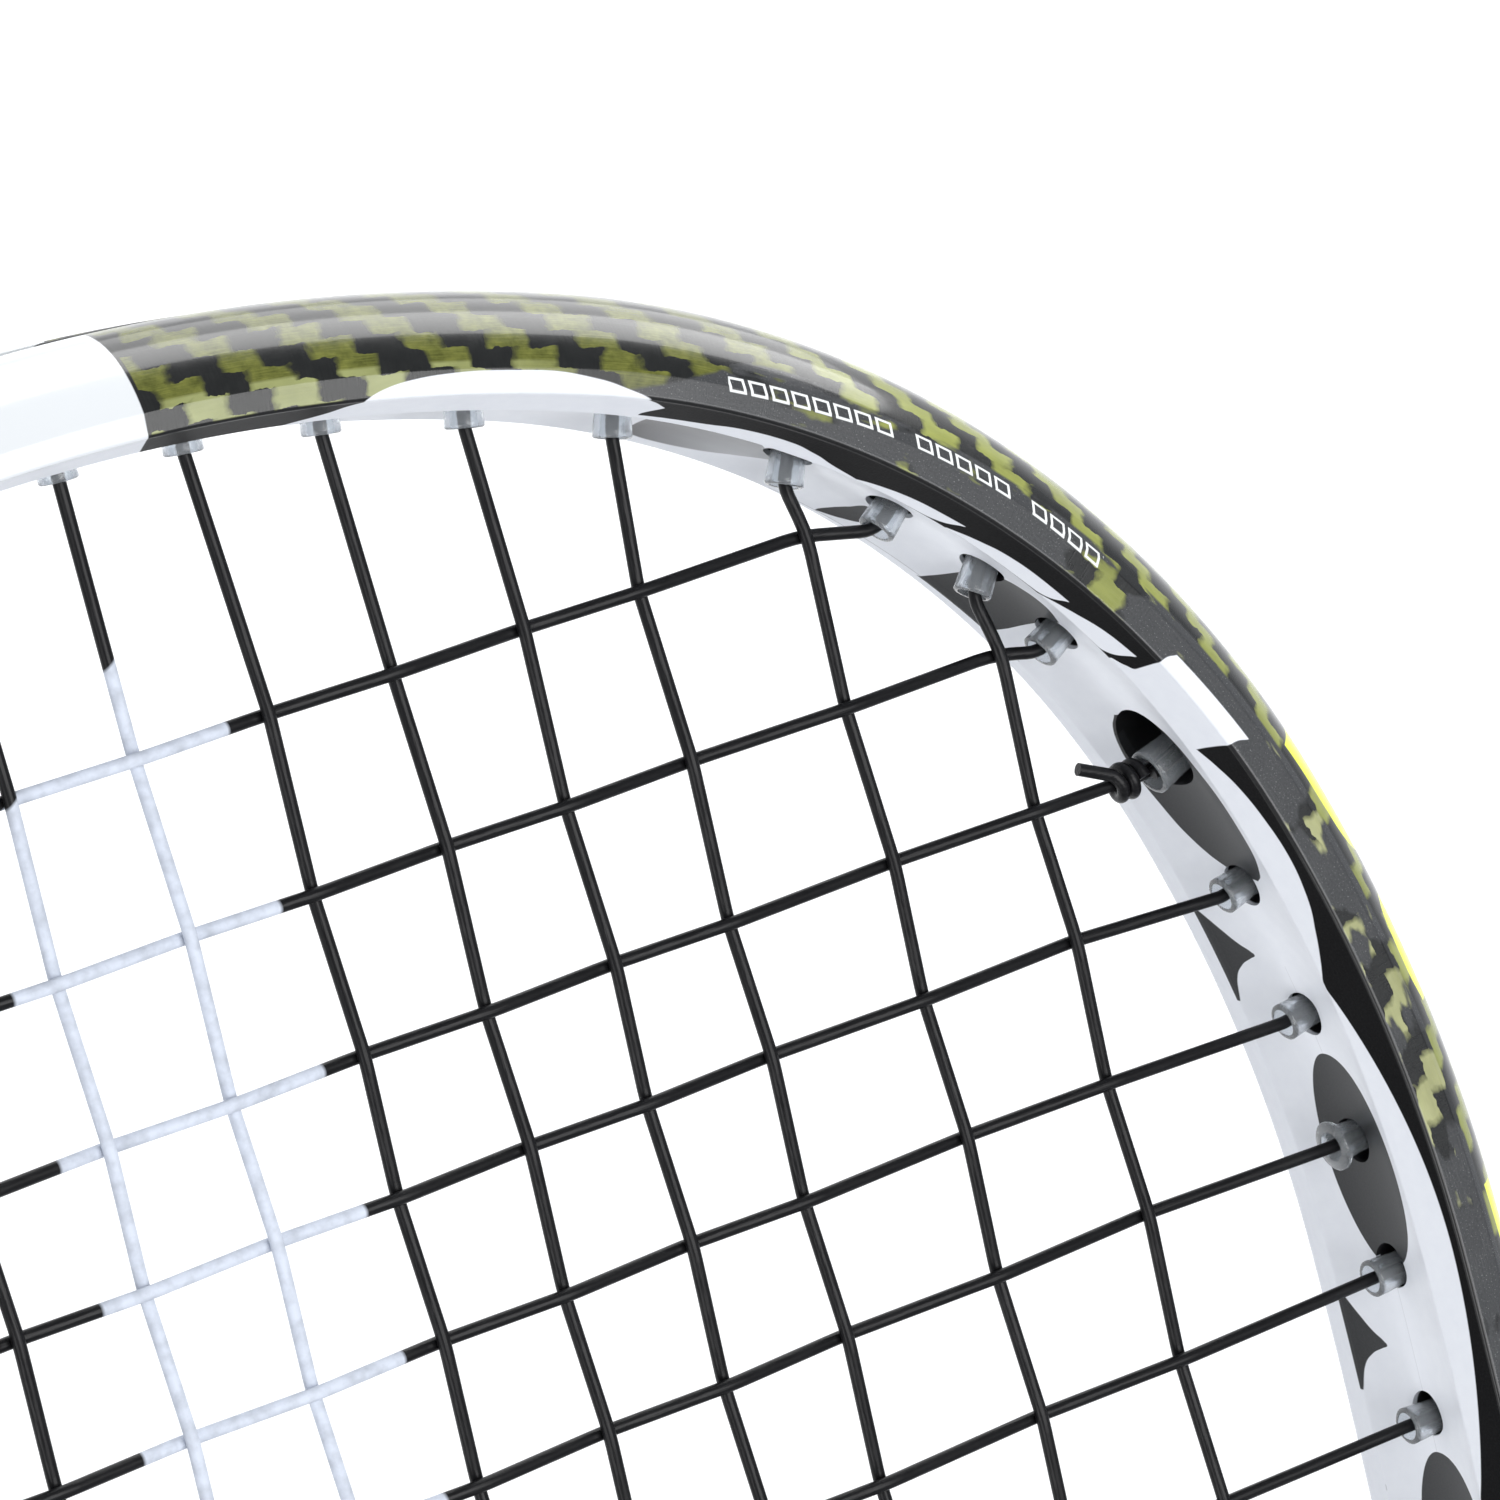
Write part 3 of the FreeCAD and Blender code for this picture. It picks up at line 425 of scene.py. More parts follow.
cutters = mesh_object("cutters", *merged(pocket(h) for h in HOLES if not h.in_bridge), smooth=False)
face_outward(cutters)
face_outward(hoop)
mod = hoop.modifiers.new("holes", "BOOLEAN")
mod.object = cutters
mod.operation = "DIFFERENCE"
mod.solver = "EXACT"
bpy.context.view_layer.objects.active = hoop
hoop.select_set(True)
bpy.ops.object.modifier_apply(modifier="holes")
hoop.select_set(False)
bpy.data.objects.remove(cutters)

# Slack at the joints between pieces of the line, reach off it, and the place of points off it all
SEAM, NEAR_N, FAR_N = 0.6, -1.0, 11.5
OFF_LINE_S, OFF_LINE_N = 600.0, 5.0
FACET_Z, FACET_LEAD = 10.2, (0.2, 0.6)


def line_coordinates(points):
    """(s, n) of points in the string plane along the leg line, by its pieces."""
    x, y = np.abs(points[:, 0]), points[:, 1]
    s_out, n_out = np.full(len(x), OFF_LINE_S), np.full(len(x), OFF_LINE_N)
    found = np.zeros(len(x), bool)
    start = 0.0
    for piece in LEG_LINE.pieces:
        s, n = piece.locate(x, y)
        ok = (s > -SEAM) & (s < piece.length + SEAM) & (n > NEAR_N) & (n < FAR_N) & ~found
        s_out[ok], n_out[ok] = s[ok] + start, n[ok]
        found |= ok
        start += piece.length
    return s_out, n_out


def section_coordinate(s, n, z):
    """Length round the section from the wall's middle, positive to the front."""
    a = np.abs(z)
    facet_end = np.interp(s, FACET_S, FACET_N)
    t_bevel = WALL_Z + BEVEL_LEN * np.clip((a - WALL_Z) / (BEVEL_TOP[1] - WALL_Z), 0, 1)
    t_facet = T_BEVEL + np.maximum(n - BEVEL_TOP[0], 0)
    t_outer = T_BEVEL + (facet_end - BEVEL_TOP[0]) + np.hypot(n - facet_end, BEAM_HALF - a)
    t = np.where(a <= WALL_Z, np.where(n < MID_DEPTH, a, t_outer), t_bevel)
    t = np.where((a > FACET_Z) & (n > BEVEL_TOP[0] - FACET_LEAD[0]), t_facet, t)
    t = np.where((a > WALL_Z) & (n > facet_end), t_outer, t)
    t = np.where((a > WALL_Z) & (n > BEVEL_TOP[0] + FACET_LEAD[1]) & (n <= facet_end), t_facet, t)
    return np.where(z >= 0, t, -t)


def paint_coordinates(obj):
    """Stores each point's place along the hoop, round its section and off its wall line."""
    mesh = obj.data
    co = np.empty(len(mesh.vertices) * 3)
    mesh.vertices.foreach_get("co", co)
    co = co.reshape(-1, 3) / MM
    s, n = line_coordinates(co)
    t = section_coordinate(s, n, co[:, 2])
    for name, values in (("s_mm", s), ("t_mm", t), ("n_mm", n)):
        layer = mesh.attributes.new(name, "FLOAT", "POINT")
        layer.data.foreach_set("value", values.astype(np.float32))


paint_coordinates(hoop)
hoop.data.set_sharp_from_angle(angle=radians(38))


# ---- node materials ----
class Tree:
    """A node material built with plain calls."""

    def __init__(self, name):
        self.mat = bpy.data.materials.new(name)
        self.mat.use_nodes = True
        self.t = self.mat.node_tree
        self.bsdf = self.t.nodes["Principled BSDF"]

    def node(self, kind, **props):
        n = self.t.nodes.new(kind)
        for k, v in props.items():
            setattr(n, k, v)
        return n

    def put(self, socket, value):
        if isinstance(value, bpy.types.NodeSocket):
            self.t.links.new(value, socket)
        elif isinstance(value, (tuple, list)) and len(value) == 3 and socket.type == "RGBA":
            socket.default_value = (*value, 1)
        else:
            socket.default_value = value

    def math(self, op, a, b=0.0, c=0.0, clamp=False):
        n = self.node("ShaderNodeMath", operation=op, use_clamp=clamp)
        for i, v in enumerate((a, b, c)):
            self.put(n.inputs[i], v)
        return n.outputs[0]

    def mix(self, fac, a, b):
        n = self.node("ShaderNodeMix", data_type="RGBA")
        self.put(n.inputs[0], fac)
        self.put(n.inputs[6], a)
        self.put(n.inputs[7], b)
        return n.outputs[2]

    def mixf(self, fac, a, b):
        n = self.node("ShaderNodeMix", data_type="FLOAT")
        self.put(n.inputs[0], fac)
        self.put(n.inputs[2], a)
        self.put(n.inputs[3], b)
        return n.outputs[0]

    def attr(self, name):
        return self.node("ShaderNodeAttribute", attribute_name=name).outputs["Fac"]

    def place(self):
        """The point's place on the object, in millimetres."""
        geo = self.node("ShaderNodeTexCoord")
        n = self.node("ShaderNodeVectorMath", operation="SCALE")
        self.put(n.inputs[0], geo.outputs["Object"])
        n.inputs["Scale"].default_value = 1 / MM
        return n.outputs[0]

    def xyz(self, vector):
        n = self.node("ShaderNodeSeparateXYZ")
        self.put(n.inputs[0], vector)
        return n.outputs

    def vec(self, x, y, z=0.0):
        n = self.node("ShaderNodeCombineXYZ")
        for i, v in enumerate((x, y, z)):
            self.put(n.inputs[i], v)
        return n.outputs[0]

    def noise(self, vector, scale, detail=2.0, rough=0.5):
        n = self.node("ShaderNodeTexNoise")
        self.put(n.inputs["Vector"], vector)
        n.inputs["Scale"].default_value = scale
        n.inputs["Detail"].default_value = detail
        n.inputs["Roughness"].default_value = rough
        return n.outputs["Fac"]

    def voronoi(self, vector, scale):
        n = self.node("ShaderNodeTexVoronoi", feature="F1")
        self.put(n.inputs["Vector"], vector)
        n.inputs["Scale"].default_value = scale
        return n.outputs["Distance"]

    def step(self, edge, x, soft=0.08):
        """0 below edge and 1 above it, over a soft width."""
        return self.math("ADD", self.math("DIVIDE", self.math("SUBTRACT", x, edge), soft), 0.5,
                         clamp=True)

    def times(self, *values):
        return reduce(lambda a, b: self.math("MULTIPLY", a, b), values)

    def either(self, *values):
        return reduce(lambda a, b: self.math("MAXIMUM", a, b), values)

    def less(self, a, b):
        """What is left of 1 when a times b is taken away."""
        return self.math("SUBTRACT", 1.0, self.math("MULTIPLY", a, b))

    def below(self, edge, x, soft=0.08):
        """1 below edge and 0 above it."""
        return self.less(1.0, self.step(edge, x, soft))

    def within(self, low, high, x, soft=0.1):
        return self.times(self.step(low, x, soft), self.below(high, x, soft))

    def scaled(self, x, factor, shift=0.0):
        """x times factor, and shift added to it."""
        out = self.math("MULTIPLY", x, factor)
        return self.math("ADD", shift, out) if shift else out

    def repeat(self, x, start, pitch):
        """How far x is into its repeat."""
        return self.math("FLOORED_MODULO", self.math("SUBTRACT", x, start), pitch)

    def curve(self, x, points):
        """A smooth curve through (x, y) points; flat outside them. Reads as y over x."""
        xs, ys = [p[0] for p in points], [p[1] for p in points]
        x0, x1, y0, y1 = min(xs), max(xs), min(ys), max(ys)
        y1 = y1 if y1 > y0 else y0 + 1
        unit = self.node("ShaderNodeMapRange")
        self.put(unit.inputs["Value"], x)
        unit.inputs["From Min"].default_value = x0
        unit.inputs["From Max"].default_value = x1
        n = self.node("ShaderNodeFloatCurve")
        self.put(n.inputs["Value"], unit.outputs[0])
        c = n.mapping.curves[0]
        knots = sorted(((px - x0) / (x1 - x0), (py - y0) / (y1 - y0)) for px, py in points)
        c.points[0].location, c.points[1].location = knots[0], knots[-1]
        for knot in knots[1:-1]:
            c.points.new(*knot)
        for p in c.points:
            p.handle_type = "AUTO_CLAMPED"
        n.mapping.update()
        back = self.node("ShaderNodeMapRange")
        self.put(back.inputs["Value"], n.outputs[0])
        back.inputs["To Min"].default_value = y0
        back.inputs["To Max"].default_value = y1
        return back.outputs[0]

    def band(self, s, t, low, high, soft=0.1):
        """1 between two curves over s, or between a curve and a plain number."""
        span = [p[0] for c in (low, high) if not isinstance(c, (int, float)) for p in c]
        lo = low if isinstance(low, (int, float)) else self.curve(s, low)
        hi = high if isinstance(high, (int, float)) else self.curve(s, high)
        return self.times(self.within(lo, hi, t, soft), self.within(min(span), max(span), s, soft))

    def set(self, **sockets):
        for k, v in sockets.items():
            self.put(self.bsdf.inputs[k.replace("_", " ")], v)

    def bump(self, height, strength=0.3, distance=0.0001):
        n = self.node("ShaderNodeBump")
        n.inputs["Strength"].default_value = strength
        n.inputs["Distance"].default_value = distance
        self.put(n.inputs["Height"], height)
        self.put(self.bsdf.inputs["Normal"], n.outputs[0])


# ---- paint ----
# Outlines in millimetres: along the hoop from its tip, and round its section. Most of their points
# were picked by eye on the photo, turned into these two coordinates by a scratch program, then
# rounded and evened out by hand.
OLIVE, OLIVE_DARK = (0.15, 0.16, 0.032), (0.05, 0.056, 0.007)
# Paler olives for the tows: a painted sheen near the tip and painted sunlight further on.
OLIVE_PAINTED_SHEEN, OLIVE_SUNLIT = (0.27, 0.29, 0.12), (0.3, 0.33, 0.08)
OLIVE_WORN = (0.46, 0.47, 0.24)
TOW_BLACKS = (0.003, 0.0035, 0.0035), (0.024, 0.025, 0.024)
# The third white is painted shade, for the tip band's front and outer faces.
WHITE, DIRTY_WHITE, TIP_WHITE_PAINTED_SHADE = (0.78, 0.8, 0.84), (0.72, 0.74, 0.79), (0.6, 0.62, 0.635)
YELLOW = (0.8, 0.88, 0.02)
VEIL_GREYS, FLECK_GREY = ((0.022, 0.023, 0.025), (0.065, 0.067, 0.07)), (0.3, 0.31, 0.31)
BEVEL_BLACKS = (0.002, 0.002, 0.0025), (0.022, 0.022, 0.023)
SATIN_GREYS = (0.016, 0.017, 0.018), (0.036, 0.037, 0.04)
# Lit and shaded greys of the silver mark: painted light and painted shade.
SILVER_LIT_AND_SHADED, SILVER_SHADE = ((0.42, 0.43, 0.45), (0.12, 0.122, 0.13)), (0.09, 0.09, 0.095)
OUTLINE_BLACK, INSIDE_BLACK = (0.01, 0.01, 0.01), (0.012, 0.012, 0.013)
MOTIF_WHITE = (0.7, 0.72, 0.72)

WEAVE_SHIFT, TOW_S, TOW_T = 2.5, 1.75, 1.62   # the pattern's start, and one tow along and round
TOWS_IN_REPEAT = 4.0
LEAF_ONE = ((20.5, 6.8), (23, 8.6), (25, 10.8), (27.1, 11.8), (29.5, 12.3), (32.7, 12.6),
            (35.9, 12.7), (39.3, 12.7), (44.2, 12.2), (46.7, 11.6), (48.7, 11.0), (50.5, 9.8))
LEAF_ONE_LOW = ((20.5, 0.0), (49.2, 0.0), (49.4, 7.7), (50.5, 9.7))
STRIP_ONE = ((49.4, 7.4), (54.5, 7.9), (58, 8.7), (61, 8.9), (64.0, 8.4), (66.5, 7.5), (69.0, 6.9))
STRIP_TWO = ((68.3, 6.7), (70.8, 7.6), (73.7, 8.2), (76.8, 8.4), (78.3, 8.5))
STRIP_TWO_LOW = ((68.3, 6.6), (75.6, 6.8), (78.3, 8.4))
STRIP_THREE = ((77.6, 6.8), (80.4, 7.8), (82.8, 8.4), (85.8, 8.6), (89.0, 8.6))
STRIP_THREE_LOW = ((77.6, 6.6), (86.8, 6.8), (89.0, 8.5))
STRIP_FOUR = ((87.2, 6.7), (90.2, 7.9), (92.8, 8.9), (95.9, 9.5))
STRIP_FOUR_LOW = ((87.2, 6.5), (94.0, 6.7), (95.9, 9.3))
PATCH_LEFT = ((6.9, 95.3), (7.6, 96.4), (8.4, 97.0), (10.1, 97.0), (11.4, 97.1), (12.4, 97.7))
PATCH_RIGHT = ((7.0, 105.5), (9.1, 105.6), (11.3, 105.9), (12.6, 106.6))
WAVE = ((105.4, 7.5), (107.5, 8.4), (109.9, 9.2), (112.7, 9.7), (116.2, 10.0), (119.8, 9.6),
        (123.2, 8.5), (125.9, 7.4), (128.0, 6.4))
WAVE_START, WAVE_PITCH, WAVE_LOW, WAVE_RISE, WAVES_END = 128.0, 44.0, 6.5, 3.8, 304.0
REAR_BEVEL_END = -11.6
HOLE_LEAF_TOP = ((102.6, -2.2), (102.9, 0.5), (103.6, 2.4), (105.4, 3.7), (107.9, 4.4),
                 (110.9, 5.2), (114.9, 5.4), (118.2, 4.0), (119.0, 2.8))
HOLE_LEAF_LOW = ((102.6, -2.3), (103.9, -3.6), (105.9, -4.4), (107.8, -4.6), (111.0, -4.3),
                 (114.9, -3.2), (118.2, -0.4), (119.0, 2.7))
OVAL_FIRST, OVAL_PITCH, OVAL_HALF, OVAL_HIGH, OVAL_LOW = 144.0, 34.0, 9.2, 5.6, 3.9
DIAGONAL_TOP = ((84.0, -6.9), (84.8, -5.0), (85.4, -2.5), (86.4, 0.6), (88.0, 2.2), (90.0, 2.9),
                (92.3, 2.0))
DIAGONAL_LOW = ((84.0, -7.2), (91.0, -6.9), (92.0, -5.0), (92.3, 1.9))
SPECKLED_TOP = ((73.4, -6.3), (74.7, -4.0), (75.6, -2.4), (77.8, -3.2))
SPECKLED_LOW = ((73.4, -6.6), (75.5, -5.9), (77.0, -4.9), (77.8, -3.4))
SATIN_TOP = ((55.0, 2.0), (60, 2.0), (66.4, -2.2))
SATIN_LOW = ((55.0, -5.4), (57.5, -5.8), (60.9, -5.4), (63.6, -4.3), (66.4, -2.4))
SPIKES_START, SPIKE_FOOT = 108.5, -7.2
SPIKE_TOP = ((121.1, -6.5), (123.0, -5.4), (124.6, -4.3), (125.6, -3.3), (125.9, -3.1),
             (126.1, -3.6), (126.6, -4.9), (127.6, -5.9), (129.6, -6.6))
BARE_PATCHES = ((50, 0.0), (58, 0.1), (60, 0.0), (65, 0.12), (68, 0.0), (75, 0.12), (78, 0.0),
                (86, 0.05), (89.5, 0.3), (92.5, 0.0), (104, 0.05), (112, 0.0), (115, 0.25),
                (117, 0.0), (121, 0.0), (122.5, 0.3), (124, 0.05), (126.5, 0.25), (129, 0.3),
                (133, 0.1), (136, 0.3), (142, 0.2), (146, 0.0), (190, 0.12), (300, 0.1),
                (600, 0.05))
YELLOW_ONE = ((109.4, 15.9), (111.5, 16.05), (115.0, 16.2), (118.0, 16.7), (119.7, 18.0),
              (120.6, 20.5))
YELLOW_TWO = ((123.9, 17.8), (125.2, 16.5), (129.0, 16.1), (132.4, 16.8))
YELLOW_THREE = ((147.2, 15.6), (150.0, 15.8), (168.0, 17.2), (176.0, 19.0))
ALL_ROUND = 30.0                   # beyond the outside of the section
FACET_EDGE = ((0, 13.4), (60, 13.6), (70, 13.8), (80, 14.1), (90, 14.5), (200, 14.5))
VEIL_EDGE = ((44, 11.0), (50, 12.4), (54, 14.0), (60, 15.6), (66, 14.8), (78, 15.0), (96, 14.8),
             (400, 14.7))
VEIL_START, PAINTED_SHEEN_END, SUNLIT_START, WORN_START = 44.0, 40.0, 62.0, 95.0
TIP_BAND_S, TIP_BAND_T, TIP_BAND_SLOPE, TIP_OUTLINE = 8.05, 11.0, 0.22, 0.3
MATT_FROM, MATT_TO = WALL_Z - 0.7, T_BEVEL + 0.2   # the matt black bevel, over its edges
SHADE_END_S, SILVER_MID_T = 60.0, -1.5
PATCH_TOP, PATCH_S, PATCH_SLOPE, PATCH_FOOT = 12.4, 97.7, 0.025, 6.0
MOTIF_LINE = ((54.6, 13.15), (61.2, 13.35), (69.4, 13.75), (78.5, 13.9), (88.3, 13.65))
MOTIF_SPAN, FRAME_PITCH, FRAME_SLANT = (54.7, 88.4), 1.78, 0.3
FRAME_BARS, FRAME_HEIGHTS = (0.13, 0.67, 0.8), (0.4, 0.6)   # parts of the pitch; millimetres
FRAME_GAPS = (8.0, 14.0)           # places in the row that are left empty
INSIDE_N = (2.45, 5.6)             # the walls of the string holes
MOUTH_END = 104.5


def weave(m, s, t):
    """Stair-stepped olive and black tows: their colour, relief, and where olive shows."""
    sway = m.noise(m.vec(m.scaled(s, 0.35), m.scaled(t, 0.35), 3.0), 1.0)
    fray = m.noise(m.vec(m.scaled(s, 1.6), m.scaled(t, 1.6), 9.0), 1.0, 3.0)
    ds = m.math("ADD", m.scaled(m.math("SUBTRACT", sway, 0.5), 2.2),
                m.scaled(m.math("SUBTRACT", fray, 0.5), 0.7))
    su = m.math("ADD", s, m.math("SUBTRACT", ds, WEAVE_SHIFT))
    tu = m.math("ADD", t, m.scaled(ds, 0.6))
    column = m.math("FLOOR", m.math("DIVIDE", su, TOW_S))
    row = m.math("FLOOR", m.math("DIVIDE", tu, TOW_T))
    turn = m.math("FLOORED_MODULO", m.math("ADD", column, row), TOWS_IN_REPEAT)
    across = m.math("ADD", m.math("DIVIDE", m.math("FLOORED_MODULO", su, TOW_S), TOW_S),
                    m.math("SUBTRACT", turn, 1.0))
    is_olive = m.below(0.88, m.math("ABSOLUTE", across), 0.34)
    fibre_round = m.noise(m.vec(m.scaled(s, 0.5), m.scaled(t, 9.0), 1.0), 1.0, 3.0)
    fibre_along = m.noise(m.vec(m.scaled(s, 9.0), m.scaled(t, 0.5), 5.0), 1.0, 3.0)
    fibre = m.mixf(is_olive, fibre_along, fibre_round)
    mottle = m.noise(m.vec(m.scaled(s, 0.9), m.scaled(t, 0.9), 4.0), 1.0, 4.0, 0.65)
    lit = m.math("ADD", m.scaled(m.math("SUBTRACT", fibre, 0.4), 1.3),
                 m.scaled(m.math("SUBTRACT", mottle, 0.3), 1.8), clamp=True)
    olive = m.mix(lit, OLIVE_DARK, OLIVE)
    black = m.mix(m.times(fibre, mottle), *TOW_BLACKS)
    return m.mix(is_olive, black, olive), fibre, is_olive


def bare_carbon(m, s, t, a, grain):
    """The weave, its olive tows painted paler where lit (painted sheen near the tip, painted sunlight
    further on) and where worn, and the grey veil with its bare patches.
    """
    colour, fibre, is_olive = weave(m, s, t)
    cloud = m.noise(m.vec(m.scaled(s, 0.16), m.scaled(t, 0.45), 2.0), 1.0, 3.0)
    on_facet = m.times(m.step(T_BEVEL, a, 0.15), m.below(m.curve(s, FACET_EDGE), a, 0.25))
    # Painted sheen: near the tip the olive tows on the front facet are painted paler, for the light
    # reflected there.
    painted_sheen = m.times(on_facet, is_olive, m.below(PAINTED_SHEEN_END, s, 6.0))
    amount = m.math("MULTIPLY", painted_sheen, m.scaled(cloud, 1.1, 0.25), clamp=True)
    colour = m.mix(amount, colour, OLIVE_PAINTED_SHEEN)
    # Painted sunlight: past SUNLIT_START the olive tows are painted paler as if lit; on the facet past
    # WORN_START they take the worn olive instead.
    sunlit_and_worn = m.mix(m.times(on_facet, m.step(WORN_START, s, 8.0)), OLIVE_SUNLIT, OLIVE_WORN)
    amount = m.times(is_olive, m.step(SUNLIT_START, s, 10.0), m.math("ADD", cloud, 0.12))
    colour = m.mix(amount, colour, sunlit_and_worn)

    veil = m.times(m.below(m.curve(s, VEIL_EDGE), a, 0.3), m.step(VEIL_START, s, 6.0),
                   m.step(T_BEVEL, a, 0.1))
    open_by = m.curve(s, BARE_PATCHES)
    bare = m.math("MULTIPLY", m.math("ADD", m.math("SUBTRACT", cloud, 0.62), open_by), 14.0,
                  clamp=True)
    veil = m.times(veil, m.less(0.85, bare))
    flecks = m.step(0.67, m.noise(m.vec(s, t), 7.0, 2.0, 0.6), 0.03)
    grey = m.mix(m.scaled(flecks, 0.5), m.mix(grain, *VEIL_GREYS), FLECK_GREY)
    return m.mix(veil, colour, grey), fibre


def white_parts(m, s, t, a):
    """Where the hoop is painted white, apart from the band across its tip."""
    to_end = m.below(WAVES_END, s, 0.1)
    turn = m.math("DIVIDE", m.repeat(s, WAVE_START, WAVE_PITCH), WAVE_PITCH)
    swing = m.math("POWER", m.math("SINE", m.scaled(turn, pi)), 0.85)
    waves = m.times(m.step(WAVE_START, s, 0.1), to_end,
                    m.below(m.scaled(swing, WAVE_RISE, WAVE_LOW), a, 0.1))
    wall = m.times(m.below(WALL_Z - 0.1, a, 0.12), to_end)
    patch_top = m.scaled(m.math("SUBTRACT", s, PATCH_S), PATCH_SLOPE, PATCH_TOP)
    patch = m.times(m.step(m.curve(a, PATCH_LEFT), s, 0.1), m.below(m.curve(a, PATCH_RIGHT), s, 0.1),
                    m.below(patch_top, a, 0.1), m.step(PATCH_FOOT, a))
    rear = m.times(m.below(-WALL_Z + 0.1, t, 0.1), m.step(REAR_BEVEL_END, t, 0.1), to_end)
    return m.either(
        wall, waves, patch, rear,
        m.band(s, a, LEAF_ONE_LOW, LEAF_ONE), m.band(s, a, 0.0, STRIP_ONE),
        m.band(s, a, STRIP_TWO_LOW, STRIP_TWO), m.band(s, a, STRIP_THREE_LOW, STRIP_THREE),
        m.band(s, a, STRIP_FOUR_LOW, STRIP_FOUR), m.band(s, a, 0.0, WAVE))


def grey_parts(m, s, t):
    """Satin grey leaves, ovals and spikes on the white inner wall."""
    to_end = m.below(WAVES_END, s)
    first = OVAL_FIRST - OVAL_PITCH / 2
    off = m.math("SUBTRACT", m.repeat(s, first, OVAL_PITCH), OVAL_PITCH / 2)
    across = m.math("DIVIDE", off, OVAL_HALF)
    half_oval = m.math("SQRT", m.math("MAXIMUM", m.less(across, across), 0.0))
    oval = m.times(m.below(m.times(half_oval, OVAL_HIGH), t),
                   m.step(m.times(half_oval, -OVAL_LOW), t), m.step(first, s), to_end)
    spike_s = m.math("ADD", m.repeat(s, SPIKES_START, OVAL_PITCH), SPIKES_START)
    spikes = m.times(m.band(spike_s, t, SPIKE_FOOT, SPIKE_TOP), m.step(SPIKES_START, s), to_end)
    return m.either(
        m.band(s, t, HOLE_LEAF_LOW, HOLE_LEAF_TOP), m.band(s, t, DIAGONAL_LOW, DIAGONAL_TOP),
        m.band(s, t, SPECKLED_LOW, SPECKLED_TOP), oval, spikes)


def row_of_frames(m, s, a):
    """Plain slanted hollow frames in three groups, in place of lettering."""
    off_mid = m.math("SUBTRACT", a, m.curve(s, MOTIF_LINE))
    high = m.math("ABSOLUTE", off_mid)
    start, end = MOTIF_SPAN
    cell = m.math("DIVIDE", m.math("ADD", m.math("SUBTRACT", s, start),
                                   m.scaled(off_mid, FRAME_SLANT)), FRAME_PITCH)
    u, place_in_row = m.math("FRACT", cell), m.math("FLOOR", cell)
    first, second, edge = FRAME_BARS
    open_part = m.math("LESS_THAN", u, edge)
    bars = m.math("MAXIMUM", m.math("LESS_THAN", u, first),
                  m.times(m.math("GREATER_THAN", u, second), open_part))
    rails = m.times(m.step(FRAME_HEIGHTS[0], high, 0.05), open_part)
    gaps = m.either(*[m.math("COMPARE", place_in_row, gap, 0.5) for gap in FRAME_GAPS])
    return m.times(m.either(bars, rails), m.below(FRAME_HEIGHTS[1], high, 0.06),
                   m.step(start, s), m.below(end, s), m.less(1.0, gaps))


